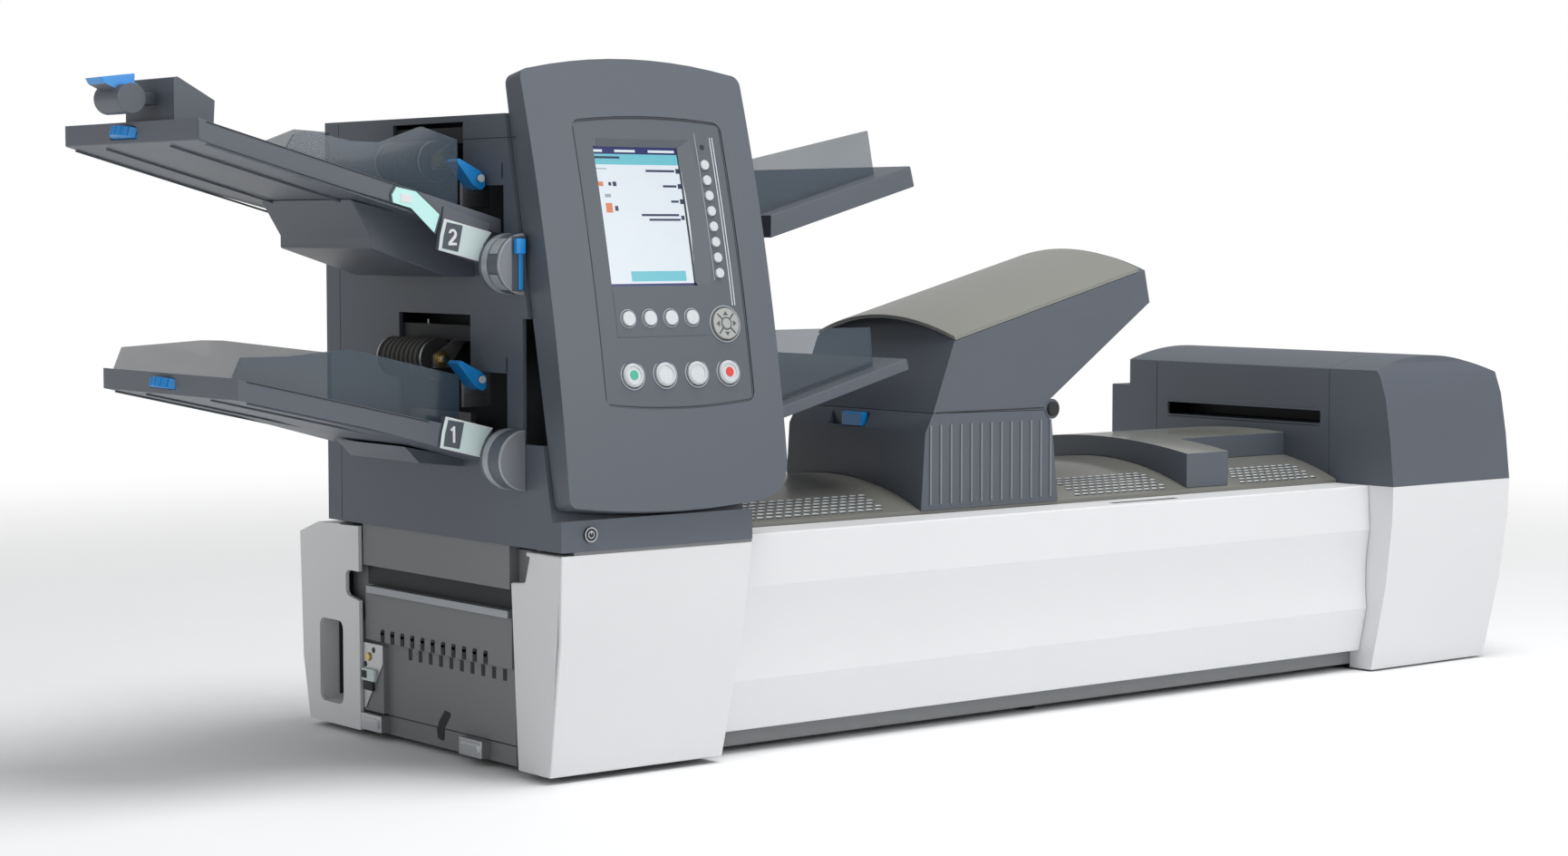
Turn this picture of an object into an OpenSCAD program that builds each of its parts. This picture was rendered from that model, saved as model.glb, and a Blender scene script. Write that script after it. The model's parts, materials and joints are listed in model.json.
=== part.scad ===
// Folder inserter: a sheet feeder tower on a long base, with an insert hopper and an exit hood.
// x runs along the machine from the tower's left face, y runs to the back, z runs up.

/* [Base] */
// Height of the base walls
base_h = 196; // [180:1:215]
// Distance from the depth centre to the outside of a chassis wall
chassis_half = 160; // [150:1:165]
// Thickness of the chassis sheet
sheet = 3; // [2:0.5:4]
// Left end of the chassis
chassis_start = 14; // [14:1:20]
// Right end of the chassis
chassis_end = 1200; // [1150:1:1210]
// Reach of the front panel from the depth centre
front_reach = 184; // [180:1:190]
// Reach of the rear panel from the depth centre
rear_reach = 205; // [196:1:212]
// Thickness of the moulded walls
wall = 4; // [3:0.5:5]
// Height of the gap below the long panels
kick_h = 16; // [12:1:30]
// Height of the rubber feet
foot_h = 6; // [4:1:12]
// Radius of a rubber foot
foot_r = 14; // [10:1:20]
// Gap between neighbouring covers
seam = 0.5; // [0.4:0.1:1]
// Running gap around keys and sliding pieces
slack = 0.3; // [0.3:0.05:0.5]
// Gap around a turning shaft
bore_gap = 0.05; // [0.03:0.01:0.1]

/* [Fold rollers] */
// Radius of a fold roller
fold_r = 15.2; // [12:0.1:16]
// Radius of the fold roller shafts
fold_shaft_r = 5; // [3:0.5:6]
// Distance of the fold rollers from the tower's left face
fold_x = 110; // [80:1:150]
// Height of the lower fold roller
fold_z = 129; // [100:1:140]
// Gap between the two fold rollers
fold_nip = 0.6; // [0.4:0.1:2]
// Distance from the depth centre to the outside of a bearing plate
fold_half = 130; // [110:1:150]

/* [Tower] */
// Width of the feeder tower
tower_w = 205; // [190:1:215]
// Height of the feeder tower above the base
tower_h = 375; // [365:1:400]
// Distance from the depth centre to the back of the tower
tower_back = 181; // [180:1:190]
// Distance from the depth centre to the strip below the control panel
strip_reach = 215; // [212:1:217]
// Height of that strip
strip_h = 27; // [22:0.5:28]

/* [Control panel] */
// Backward lean of the control panel
panel_tilt = 11.5; // [8:0.5:14]
// How far the panel's lower edge stands out from the strip below it
panel_proud = 7; // [3:1:11]
// Height of the panel's lower corners above the base
panel_z = 39; // [37:0.5:44]
// Left edge of the panel
panel_x0 = 4; // [0:1:6]
// Right edge of the panel
panel_x1 = 241; // [236:1:246]
// Length of the panel's straight sides
panel_len = 380; // [370:1:385]
// Rise of the panel's top edge
panel_crown = 13.8; // [8:0.2:18]
// Drop of the panel's bottom edge
panel_sag = 8.5; // [6:0.5:9]
// Forward bow of the panel's face
panel_bow = 10; // [6:0.5:12]
// Thickness of the panel at its ends
panel_t = 22; // [20:0.5:24]
// Left edge of the key plate
fascia_x0 = 49; // [44:1:52]
// Right edge of the key plate
fascia_x1 = 210; // [206:1:214]
// Lower edge of the key plate along the panel
fascia_s0 = 85; // [80:1:88]
// Upper edge of the key plate along the panel
fascia_s1 = 336; // [330:1:342]
// Rise of the key plate's curved ends
fascia_crown = 5; // [3:0.5:8]
// Thickness of the key plate
fascia_t = 3; // [2:0.5:4]
// Depth of the key plate's face below the panel's face
fascia_dip = 1; // [0.5:0.1:2]
// Left edge of the screen
screen_x0 = 68.5; // [64:0.5:72]
// Right edge of the screen
screen_x1 = 160.7; // [155:0.1:165]
// Lower edge of the screen
screen_s0 = 188.5; // [184:0.5:192]
// Upper edge of the screen
screen_s1 = 313.5; // [308:0.5:318]
// Travel of a panel key
key_travel = 1.5; // [1:0.1:2]
// Height of a panel key above the key plate
key_rise = 2.2; // [1.8:0.1:3]
// Radius of a soft key
soft_r = 4.5; // [4:0.1:5]
// Distance between soft keys
soft_pitch = 14.07; // [13.5:0.01:14.5]
// Place of the lowest soft key along the panel
soft_s = 199.1; // [197:0.1:202]
// Place of the soft keys and the round pad across the panel
soft_x = 186; // [184:0.5:190]
// Radius of a function key
function_r = 6.5; // [5:0.1:8]
// Distance between function keys
function_pitch = 22.8; // [21:0.1:25]
// Place of the left function key across the panel
function_x = 81.8; // [78:0.1:84]
// Place of the function keys along the panel
function_s = 160; // [156:0.5:164]
// Radius of the round pad
nav_r = 14; // [12:0.5:15]
// Place of the round pad along the panel
nav_s = 153.6; // [152:0.1:158]
// Radius of a large key
large_r = 10.5; // [9:0.5:12]
// Distance between large keys
large_pitch = 34.5; // [32:0.1:36]
// Place of the left large key across the panel
large_x = 80.5; // [76:0.5:82]
// Place of the large keys along the panel
large_s = 110.5; // [106:0.5:114]
// Radius of the power key
power_r = 6; // [5:0.5:6.5]
// Place of the power key across the strip
power_x = 29.5; // [20:0.5:60]
// Height of the power key above the base
power_z = 14.5; // [12:0.5:15]

/* [Panel hinge] */
// Distance of the hinge from the panel's right edge
hinge_in = 9; // [8:0.5:12]
// Depth of the hinge behind the panel's back
hinge_back = 8; // [7.5:0.5:10]
// Radius of the hinge pin
hinge_r = 3; // [2:0.5:3.5]
// Place of the lower hinge along the panel
hinge_s0 = 70; // [50:1:90]
// Place of the upper hinge along the panel
hinge_s1 = 300; // [270:1:320]
// Length of a hinge knuckle
knuckle_l = 28; // [20:1:32]

/* [Feed trays] */
// Half the width of the feed trays on the left
tray_half = 125; // [115:1:130]
// Half the width of the trays on the right
rest_half = 130; // [124:1:136]
// Half the width of the right trays beside the open panel
neck_half = 115; // [100:1:115]
// Far end of that narrow part
neck_x = 292; // [288:1:300]
// Reach of the lower feed tray to the left
tray_a_reach = 256; // [240:1:270]
// Height of the lower feed tray's end above the base
tray_a_z = 153; // [150:1:160]
// Reach of the upper feed tray to the left
tray_c_reach = 289; // [275:1:292]
// Height of the upper feed tray's end above the base
tray_c_z = 364.5; // [358:0.5:366]
// Thickness of the feed trays at their ends
tray_t = 18; // [16.5:0.5:20]
// Thickness of a side guide
guide_t = 3; // [2:0.5:4]
// Distance from the depth centre to the outside of a side guide
guide_half = 112; // [108:1:114]
// Gap from the left guides to the tower
guide_gap = 36; // [35:1:40]
// Radius of a guide wheel
wheel_r = 30; // [26:1:34]
// Thickness of a guide wheel
wheel_t = 9; // [7:0.5:10]
// Distance from a tray's end to its guide wheel's centre
wheel_in = 24; // [20:1:26]
// Radius of a guide wheel's pin
wheel_pin_r = 4; // [3:0.5:5]
// Distance of the guide wheels behind the depth centre
wheel_y = 10; // [0:1:20]
// Half the width of the back stop
stop_half = 45; // [35:1:50]
// Radius of the back stop's grip
stop_r = 13; // [10:0.5:13.5]

/* [Feeders] */
// Radius of a feed roller
roller_r = 18; // [14:0.5:20]
// Radius of a feed roller's shaft
roller_shaft_r = 4; // [3:0.5:5]
// Distance of the feed rollers outside the tower
roller_out = 12; // [10:0.5:14]
// Height of the lower feed roller above the base
roller_a_z = 160; // [158:1:166]
// Height of the upper feed roller above the base
roller_c_z = 335; // [330:1:340]
// Half the distance between the arms of a feed roller
roller_half = 40; // [34:1:42]
// Distance of the separation levers in front of the depth centre
lever_y = 95; // [93:0.5:98]
// Width of a separation lever
lever_w = 18; // [14:1:20]
// Distance of the lever pivots outside the tower
lever_out = 8; // [7.5:0.5:10]
// Radius of a lever pivot
lever_r = 3; // [2:0.5:4]
// Radius of the round separation housings
drum_r = 26; // [20:1:28]

/* [Hopper] */
// Left end of the hopper
hopper_x = 467.5; // [460:0.5:475]
// Distance from the depth centre to the hopper's front
hopper_front = 140.5; // [138:0.5:144]
// Distance from the depth centre to the hopper's back
hopper_back = 71; // [66:1:80]
// Slope of the hopper's lid
hopper_slope = 14.5; // [12:0.5:16]
// Radius of the lid's vault
vault_r = 288; // [275:1:305]
// Rise of the vault over the lid's front edge
vault_rise = 21.6; // [18:0.2:24]
// Distance of the vault's crest in front of the depth centre
vault_y = 35; // [30:1:40]
// Radius of the hopper's pivot pin
pivot_r = 4; // [3:0.5:5]
// Radius of the hopper's pivot ears
ear_r = 10; // [8:0.5:11]

/* [Deck] */
// Radius of the deck's crown
deck_r = 359; // [350:1:366]
// Height of the deck's crest above the base
deck_rise = 32; // [30:0.5:33]
// Left end of the cover beyond the hopper
mid_x = 838; // [828:1:850]
// Height of that cover's crest above the base
mid_rise = 53.5; // [48:0.5:60]

/* [Exit] */
// Left face of the exit unit
exit_x = 1067; // [1055:1:1080]
// Right end of the machine
exit_end = 1262; // [1250:1:1275]
// Distance from the depth centre to the hood's front
exit_front = 218; // [214:1:222]
// Distance from the depth centre to the hood's back
exit_back = 210; // [204:1:216]
// Radius of the hood's arch
hood_r = 280; // [260:1:310]
// Height of the hood's crest above the base
hood_rise = 138; // [132:1:144]
// Height of the exit slot above the base
slot_z = 63; // [56:1:70]
// Height of the exit slot
slot_h = 14; // [12:1:20]

/* [Hidden] */
$fn = 48;
// Sides of the largest arcs
fine = 720;
// A cut reaches this far past the face that it opens
past = 1;
// The back stop's tip is the left end of the machine and the rear cover is its back
stop_tip = -tray_c_reach - 32;
rear_cover_reach = rear_reach + 32;
panel_reach = strip_reach + panel_proud;
panel_low_y = -panel_reach - panel_sag * sin(panel_tilt);
mid_of_x = (stop_tip + exit_end) / 2;
mid_of_y = (panel_low_y + rear_cover_reach) / 2;

// Colours of the finishes
slate = [0.27, 0.3, 0.34];
taupe = [0.48, 0.48, 0.45];
white = [0.93, 0.93, 0.92];
blue = [0.05, 0.5, 0.85];
smoke = [0.45, 0.52, 0.58];
pearl = [0.82, 0.84, 0.85];
steel = [0.55, 0.56, 0.57];
black = [0.08, 0.08, 0.09];

// Places a piece given from the base's lower edge
module low() {
    translate([-mid_of_x, -mid_of_y, foot_h]) children();
}

// Places a piece given from the top of the base
module high() {
    translate([-mid_of_x, -mid_of_y, foot_h + base_h]) children();
}

module box(x0, x1, y0, y1, z0, z1) {
    translate([x0, y0, z0]) cube([x1 - x0, y1 - y0, z1 - z0]);
}

// Side view outline in x and z, drawn out along y
module prism_y(points, y0, y1) {
    translate([0, y1, 0]) rotate([90, 0, 0]) linear_extrude(y1 - y0) polygon(points);
}

// End view outline in y and z, drawn out along x
module prism_x(points, x0, x1) {
    translate([x0, 0, 0]) rotate([90, 0, 90]) linear_extrude(x1 - x0) polygon(points);
}

module rod_y(x, z, r, y0, y1) {
    translate([x, y0, z]) rotate([-90, 0, 0]) cylinder(r = r, h = y1 - y0);
}

module rod_x(y, z, r, x0, x1) {
    translate([x0, y, z]) rotate([0, 90, 0]) cylinder(r = r, h = x1 - x0, $fn = fine);
}

function unit(v) = v / norm(v);
function left_of(v) = [-v[1], v[0]];
// Moves each side of an anticlockwise outline inwards by m
function inset(p, m) = [
    for (i = [0:len(p) - 1])
        let (a = p[(i + len(p) - 1) % len(p)], b = p[i], c = p[(i + 1) % len(p)],
             n0 = left_of(unit(b - a)), n1 = left_of(unit(c - b)))
        b + m * (n0 + n1) / (1 + n0 * n1)];
function arc(cx, cy, r, a0, a1, n) = [
    for (i = [0:n]) [cx + r * cos(a0 + (a1 - a0) * i / n), cy + r * sin(a0 + (a1 - a0) * i / n)]];
// Rectangle with round corners
function rounded(x0, x1, y0, y1, r) = concat(
    arc(x1 - r, y0 + r, r, -90, 0, 4), arc(x1 - r, y1 - r, r, 0, 90, 4),
    arc(x0 + r, y1 - r, r, 90, 180, 4), arc(x0 + r, y0 + r, r, 180, 270, 4));
// Radius of an arc from its chord and its rise
function arc_r(chord, rise) = (chord * chord / 4 + rise * rise) / (2 * rise);

// Base

module chassis_wall_y(y) {
    box(chassis_start, chassis_end, y, y + sheet, 0, base_h - wall);
}

module chassis_wall_x(x) {
    box(x, x + sheet, -chassis_half + sheet, chassis_half - sheet, 0, base_h - wall);
}

// Bent edges of the long walls that carry the tower
module tower_seat() {
    for (y = [-chassis_half, chassis_half - sheet])
        box(chassis_start, tower_w, y, y + sheet, base_h - 2 * wall, base_h);
    box(chassis_start, tower_w, chassis_half - past, tower_back - past, base_h - sheet, base_h);
    box(chassis_start, tower_w, -strip_reach + past, -chassis_half + past, base_h - sheet, base_h);
}

function fold_upper_z() = fold_z + 2 * fold_r + fold_nip;

module bearing_plate(y) {
    difference() {
        box(fold_x - 3 * fold_shaft_r, fold_x + 3 * fold_shaft_r, y, y + sheet, 0, base_h - 10);
        for (z = [fold_z, fold_upper_z()])
            rod_y(fold_x, z, fold_shaft_r + bore_gap, y - past, y + sheet + past);
    }
}

module base_frame() color(steel) low() {
    box(chassis_start, chassis_end, -chassis_half, chassis_half, 0, sheet);
    chassis_wall_y(-chassis_half);
    chassis_wall_y(chassis_half - sheet);
    for (x = [chassis_start, tower_w, (tower_w + exit_x) / 2, exit_x, chassis_end - sheet])
        chassis_wall_x(x);
    tower_seat();
    for (y = [-fold_half, fold_half - sheet])
        bearing_plate(y);
}

module fold_roller(z) color(black) low() {
    rod_y(fold_x, z, fold_r, -fold_half + sheet + past, fold_half - sheet - past);
    rod_y(fold_x, z, fold_shaft_r, -fold_half - 2, fold_half + 2);
}

// Inner edge of the flat ledges between the long panels and the deck
ledge_in = 130;
// Outline of a long panel with a waist, a ledge on top and a lower flange; side is -1 at the front
function long_panel_outer(reach) = [
    [reach, base_h], [reach + 3, base_h * 0.757], [reach - 4, base_h * 0.54],
    [reach, base_h * 0.322], [reach - 10, kick_h]];
function long_panel_inner(reach) = [
    [reach - 10 - wall, kick_h + wall], [reach - wall, base_h * 0.322],
    [reach - 4 - wall, base_h * 0.54], [reach + 3 - wall, base_h * 0.757], [reach - wall, base_h - wall]];
function long_panel(reach, side) = [
    for (p = concat([[ledge_in, base_h]], long_panel_outer(reach),
                    [[chassis_half, kick_h], [chassis_half, kick_h + wall]],
                    long_panel_inner(reach), [[ledge_in, base_h - wall]]))
    [side * p[0], p[1]]];

// The cover's right edge leans by this much over its height
cover_lean = 20;
panel_end = exit_x - seam;

module leaning_panel(reach, side) {
    y_far = (reach + 2 * wall) * side;
    y_near = chassis_half * side / 2;
    intersection() {
        prism_x(long_panel(reach, side), tower_w - cover_lean - past, panel_end);
        prism_y([[tower_w + seam - cover_lean, 0], [panel_end, 0], [panel_end, base_h], [tower_w + seam, base_h]],
                min(y_far, y_near), max(y_far, y_near));
    }
}

module front_panel() color(white) low() leaning_panel(front_reach, -1);

module rear_panel() color(white) low() leaning_panel(rear_reach, 1);

// Gap between the top of the white covers and the tower
cover_gap = 3;
cover_top = base_h - cover_gap;

// Side outline of the corner covers, whose right end leans
module leaning_end(y0, y1) {
    prism_y([[0, 0], [tower_w - cover_lean, 0], [tower_w, base_h], [0, base_h]], y0, y1);
}

// Leaning wall that closes a corner cover on the right, within its outline
module cover_end(outline, y0, y1) {
    intersection() {
        prism_x(outline, 0, tower_w);
        prism_y([[tower_w - cover_lean - wall, 0], [tower_w - cover_lean, 0], [tower_w, base_h],
                 [tower_w - wall, base_h]], y0, y1);
    }
}

// Height of the step in the front cover's end face
step_z = 164;

module feeder_front_cover() color(white) low() {
    skin = [[-chassis_half, cover_top], [-strip_reach, cover_top], [-strip_reach, cover_top - 8],
            [-strip_reach + 2, base_h * 0.6], [-strip_reach + 19, 0], [-strip_reach + 19 + wall, 0],
            [-strip_reach + 2 + wall, base_h * 0.6], [-strip_reach + wall, cover_top - wall],
            [-chassis_half, cover_top - wall]];
    intersection() {
        prism_x(skin, 0, tower_w);
        leaning_end(-strip_reach - past, 0);
    }
    cover_end(concat([for (i = [0:4]) skin[i]], [[-chassis_half, 0]]), -strip_reach - past, 0);
    prism_x([[-strip_reach + 1, cover_top], [-strip_reach + 20, 0], [-strip_reach + 69, 0],
             [-strip_reach + 79, step_z], [-strip_reach + 57, step_z + 2], [-strip_reach + 48, cover_top]], 0, wall);
}

// Docking end: half its width, and the slots of its plates
dock_y0 = -128;
dock_y1 = 124;
dock_slot_w = 6;
dock_pitch = 17.8;
dock_upper_y = -88.5;
dock_lower_y = -113.5;

// Hand recess of the rear cover: its near edge, length, sill and height
grip_y = 156;
grip_l = 44;
grip_z = 20;
grip_h = 80;
grip_d = 38;
grip_r = 8;
// Notch of the rear cover beside the docking plates: its length, sill and height
notch_l = 26;
notch_z = 122;
notch_h = 28;
notch_c = 4;

module feeder_rear_cover() color(white) low() {
    r = rear_cover_reach;
    skin = [[chassis_half, cover_top - wall], [r - 35, cover_top - 5.5], [r - wall, cover_top - 16],
            [r - 5 - wall, base_h * 0.3], [r - 17 - wall, 0], [r - 17, 0], [r - 5, base_h * 0.3],
            [r, cover_top - 13], [r - 35, cover_top - 1.5], [chassis_half, cover_top]];
    side = [[dock_y1 + 2 * past, cover_top], [dock_y1 + seam, 0], [r - 18, 0], [r - 6, base_h * 0.3],
            [r - 1, cover_top - 14], [r - 36, cover_top - 2]];
    intersection() {
        prism_x(skin, 0, tower_w);
        leaning_end(0, r + past);
    }
    cover_end(concat([for (i = [5:9]) skin[i]], [[chassis_half, 0]]), 0, r + past);
    difference() {
        prism_x(side, 0, wall);
        prism_x(rounded(grip_y, grip_y + grip_l, grip_z, grip_z + grip_h, grip_r), -past, wall + past);
        prism_x([[dock_y1 - past, notch_z], [dock_y1 + notch_l - notch_c, notch_z + notch_c],
                 [dock_y1 + notch_l, notch_z + 2 * notch_c], [dock_y1 + notch_l, notch_z + notch_h - notch_c],
                 [dock_y1 + notch_l - notch_c, notch_z + notch_h], [dock_y1 - past, notch_z + notch_h]],
                -past, wall + past);
    }
    difference() {
        box(wall / 2, grip_d + wall, chassis_half + seam, grip_y + grip_l + 2, grip_z - 2, grip_z + grip_h + 2);
        box(-past, grip_d + 2, chassis_half - past, grip_y + grip_l, grip_z, grip_z + grip_h);
    }
}

module docking_plates() low() {
    x1 = chassis_start;
    difference() {
        union() {
            color(steel) box(x1 - 4, x1, dock_y0, dock_y1, 0, base_h);
            color(steel) box(x1 - 10, x1 - 4, dock_y0, dock_y1, base_h * 0.8, base_h);
            color(steel) box(x1 - 8, x1 - 4, dock_y0, dock_y1, base_h * 0.44, base_h * 0.67);
        }
        for (i = [0:10])
            box(x1 - 8 - past, x1 - 6, dock_upper_y + i * dock_pitch, dock_upper_y + i * dock_pitch + dock_slot_w,
                base_h * 0.44 - past, base_h * 0.5);
        for (i = [0:9])
            box(x1 - 4 - past, x1 - 2, dock_lower_y + i * dock_pitch, dock_lower_y + i * dock_pitch + dock_slot_w,
                base_h * 0.385, base_h * 0.43);
    }
    color(pearl) box(x1 - 12, x1 - 4, dock_y0, dock_y1 - 9, base_h * 0.67, base_h * 0.705);
    color(steel) box(x1 - 10, x1 - 4, dock_y1 - 36, dock_y1 - 1, base_h * 0.1, base_h * 0.42);
    for (y = [-87, 86])
        color("silver") box(x1 - 14, x1 - 4, y, y + 37, 2, 17.6);
}

module feet() color(black) low() {
    for (x = [chassis_start + 3 * foot_r, (chassis_start + chassis_end) / 2, chassis_end - 3 * foot_r],
         y = [-chassis_half + 2 * foot_r, chassis_half - 2 * foot_r])
        translate([x, y, -foot_h]) cylinder(r = foot_r, h = foot_h);
}

// Control panel frame: x across, y up the panel, z out of its face
panel_back_gap = 1;

module on_panel() {
    high() translate([0, -panel_reach, panel_z]) rotate([90 - panel_tilt, 0, 0]) children();
}

// Point of the tower's section at a place along the panel and a depth behind its face
function behind_panel(s, n) = [
    -panel_reach + s * sin(panel_tilt) + n * cos(panel_tilt),
    panel_z + s * cos(panel_tilt) - n * sin(panel_tilt)];

// Section of the tower, each wall moved in by m
function tower_section(m) =
    let (low_point = behind_panel(-panel_sag, panel_t + panel_back_gap),
         s_top = (tower_h - panel_z) / cos(panel_tilt) + (panel_t + panel_back_gap) * tan(panel_tilt),
         high_point = behind_panel(s_top, panel_t + panel_back_gap))
    inset([[-strip_reach, 0], [tower_back, 0], [tower_back, tower_h],
           high_point, [low_point[0], strip_h - 2], [-strip_reach, strip_h]], m);

// Feeder windows in the tower's left wall, in y and z
window_a = [[-132, 94], [48, 94], [48, 199.6], [-73, 199.6], [-73, 150], [-132, 150]];
window_c = [[-128, 272], [56, 272], [56, 369], [-63, 369], [-63, 313], [-128, 313]];
drum_y0 = -160;
drum_y1 = -tray_half - 3;
drum_a_z = 76;
drum_c_z = 245;

module half_drum(z) {
    difference() {
        rod_y(0, z, drum_r, drum_y0, drum_y1);
        box(wall / 2, 2 * drum_r, drum_y0 - past, drum_y1 + past, z - 2 * drum_r, z + 2 * drum_r);
    }
}

// Hinge of the panel: its place across the panel and behind its face
hinge_x = panel_x1 - hinge_in;
hinge_n = -panel_t - hinge_back;
lug_l = 14;
lug_r = 2 * hinge_r + 0.5;

module hinge_rod(r, s0, s1) {
    translate([hinge_x, s0, hinge_n]) rotate([-90, 0, 0]) cylinder(r = r, h = s1 - s0);
}

module tower_hinge(s) {
    for (s0 = [s - lug_l - slack, s + knuckle_l + slack]) {
        hinge_rod(lug_r, s0, s0 + lug_l);
        translate([tower_w - 3 * wall, s0, hinge_n - lug_r])
            cube([hinge_x - tower_w + 3 * wall, lug_l, lug_r]);
    }
    hinge_rod(hinge_r, s - lug_l, s + knuckle_l + lug_l);
}

// Finger gap behind the panel's left edge
finger_w = 30;
finger_y0 = -190;
finger_y1 = -157;
finger_z0 = 90;
finger_z1 = 198;

module finger_gap(x0) {
    box(x0, finger_w, finger_y0, finger_y1, finger_z0, finger_z1);
}

// Openings in the right wall above the trays there
rest_opening_half = 95;
rest_opening_h = 50;
rest_opening_z = [95, 275];

module tower_shell() {
    color(slate) difference() {
        union() {
            high() difference() {
                prism_x(tower_section(0), 0, tower_w);
                prism_x(concat([for (p = tower_section(wall)) if (p[1] > wall + past) p],
                               [[-strip_reach + wall, -past], [tower_back - wall, -past]]),
                        wall, tower_w - wall);
            }
            on_panel() for (s = [hinge_s0, hinge_s1]) tower_hinge(s);
        }
        high() {
            prism_x(window_a, -past, wall + past);
            prism_x(window_c, -past, wall + past);
            finger_gap(-past);
            for (z = rest_opening_z)
                box(tower_w - wall - past, tower_w + past, -rest_opening_half, rest_opening_half,
                    z, z + rest_opening_h);
            rod_y(power_x, power_z, power_r + slack, -strip_reach - past, -strip_reach + wall + past);
        }
    }
    color(slate) high() difference() {
        union() {
            half_drum(drum_a_z);
            half_drum(drum_c_z);
        }
        finger_gap(0);
    }
}

module power_key() color(pearl) high() {
    rod_y(power_x, power_z, power_r, -strip_reach - key_rise, -strip_reach + wall + key_travel);
    rod_y(power_x, power_z, power_r + key_flange / 2, -strip_reach + wall + slack,
          -strip_reach + wall + slack + key_flange_t);
}

// Feeder frame inside the tower's left wall
bar_t = 10;
bar_h = 14;
arm_t = 4;
frame_y = 60;

module feeder_bar(z) {
    box(wall, wall + bar_t, -lever_y + lever_w / 2 + 2, frame_y + arm_t, z, z + bar_h);
}

module roller_arm(z, bar_z, y) {
    difference() {
        prism_y([[wall, bar_z + bar_h], [wall, bar_z + 2], [-roller_out - 8, z + 4], [-roller_out - 8, z - 8],
                 [-roller_out + 8, z - 8], [wall + bar_t, bar_z], [wall + bar_t, bar_z + bar_h]], y, y + arm_t);
        rod_y(-roller_out, z, roller_shaft_r + bore_gap, y - past, y + arm_t + past);
    }
}

module lever_arm(z, bar_z) {
    y = -lever_y + lever_w / 2 + 2;
    prism_y([[wall, bar_z + bar_h], [wall, z - 11], [-2, z - 11], [-2, z + 6], [-lever_out - 6, z + 6],
             [-lever_out - 6, z - 25], [wall + bar_t, z - 25], [wall + bar_t, bar_z + bar_h]], y, y + arm_t);
    rod_y(-lever_out, z, lever_r, y - lever_w - 2 * past, y + past);
}

// Each feeder: height of its roller, its bar and its lever's pivot
lever_drop = 16;
function bar_z(z) = z + roller_r - 2;

module feeder(z) {
    feeder_bar(bar_z(z));
    for (y = [-roller_half - arm_t, roller_half])
        roller_arm(z, bar_z(z), y);
    lever_arm(z - lever_drop, bar_z(z));
}

module feed_frame() color(steel) high() {
    feeder(roller_a_z);
    feeder(roller_c_z);
    box(wall, wall + bar_t, frame_y, frame_y + arm_t, bar_z(roller_a_z), bar_z(roller_c_z) + bar_h);
}

module feed_roller(z) color(black) high() {
    rod_y(-roller_out, z, roller_r, -roller_half + past, roller_half - past);
    rod_y(-roller_out, z, roller_shaft_r, -roller_half - arm_t - 2, roller_half + arm_t + 2);
}

module feed_lever(z) color(blue) high() {
    y = -lever_y + lever_w / 2 + 2;
    translate([-lever_out, 0, z - lever_drop]) difference() {
        prism_y([[-23, 14.4], [-6, -6], [2, -10], [6, -7], [6, 3], [0, 7], [-20, 17]],
                y - lever_w - slack, y - slack);
        rod_y(0, 0, lever_r + bore_gap, -lever_y - lever_w, -lever_y + lever_w);
    }
}

// Control panel

bow_r = arc_r(panel_len + panel_crown + panel_sag, panel_bow);
bow_s = (panel_len + panel_crown - panel_sag) / 2;
function bow_at(s) = panel_bow - bow_r + sqrt(bow_r * bow_r - (s - bow_s) * (s - bow_s));

// Barrel outline with a bulging bottom and top; the corner radii are lower right, top and lower left
function barrel(x0, x1, s0, s1, sag, crown, corner_r, top_r, corner_l) =
    let (mid = (x0 + x1) / 2, rb = arc_r(x1 - x0, sag), rt = arc_r(x1 - x0, crown), n = 10,
         low_at = function (x) s0 - sag + rb - sqrt(rb * rb - (x - mid) * (x - mid)),
         top_at = function (x) s1 + crown - rt + sqrt(rt * rt - (x - mid) * (x - mid)),
         xa = x0 + corner_l, xb = x1 - corner_r, xc = x1 - top_r, xd = x0 + top_r)
    concat([for (i = [0:n]) let (x = xa + (xb - xa) * i / n) [x, low_at(x)]],
           arc(xb, low_at(xb) + corner_r, corner_r, -78, 0, 5),
           arc(xc, top_at(xc) - top_r, top_r, 0, 75, 4),
           [for (i = [0:n]) let (x = xc + (xd - xc) * i / n) [x, top_at(x)]],
           arc(xd, top_at(xd) - top_r, top_r, 105, 180, 4),
           arc(xa, low_at(xa) + corner_l, corner_l, 180, 255, 4));

panel_outline = barrel(panel_x0, panel_x1, 0, panel_len, panel_sag, panel_crown, 34, 10, 8);
fascia_outline = barrel(fascia_x0, fascia_x1, fascia_s0, fascia_s1, fascia_crown, fascia_crown, 9, 9, 9);
fascia_back = fascia_dip + fascia_t;
// Depth of the hollow behind the panel's face, its rim, and the ledge under the key plate
panel_skin = fascia_back + wall;
panel_rim = 6;
ledge = 5;

// All that lies more than d below the panel's bowed face
module below_face(d) {
    rod_x(bow_s, panel_bow - bow_r, bow_r - d, -past, panel_x1 + past);
}

module slab(points, n0, n1) {
    translate([0, 0, n0]) linear_extrude(n1 - n0) polygon(points);
}

module panel_knuckle(s) {
    difference() {
        union() {
            hinge_rod(lug_r, s, s + knuckle_l);
            translate([hinge_x - hinge_r, s, hinge_n]) cube([2 * hinge_r, knuckle_l, hinge_back + past]);
        }
        hinge_rod(hinge_r + bore_gap, s - past, s + knuckle_l + past);
    }
}

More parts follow.
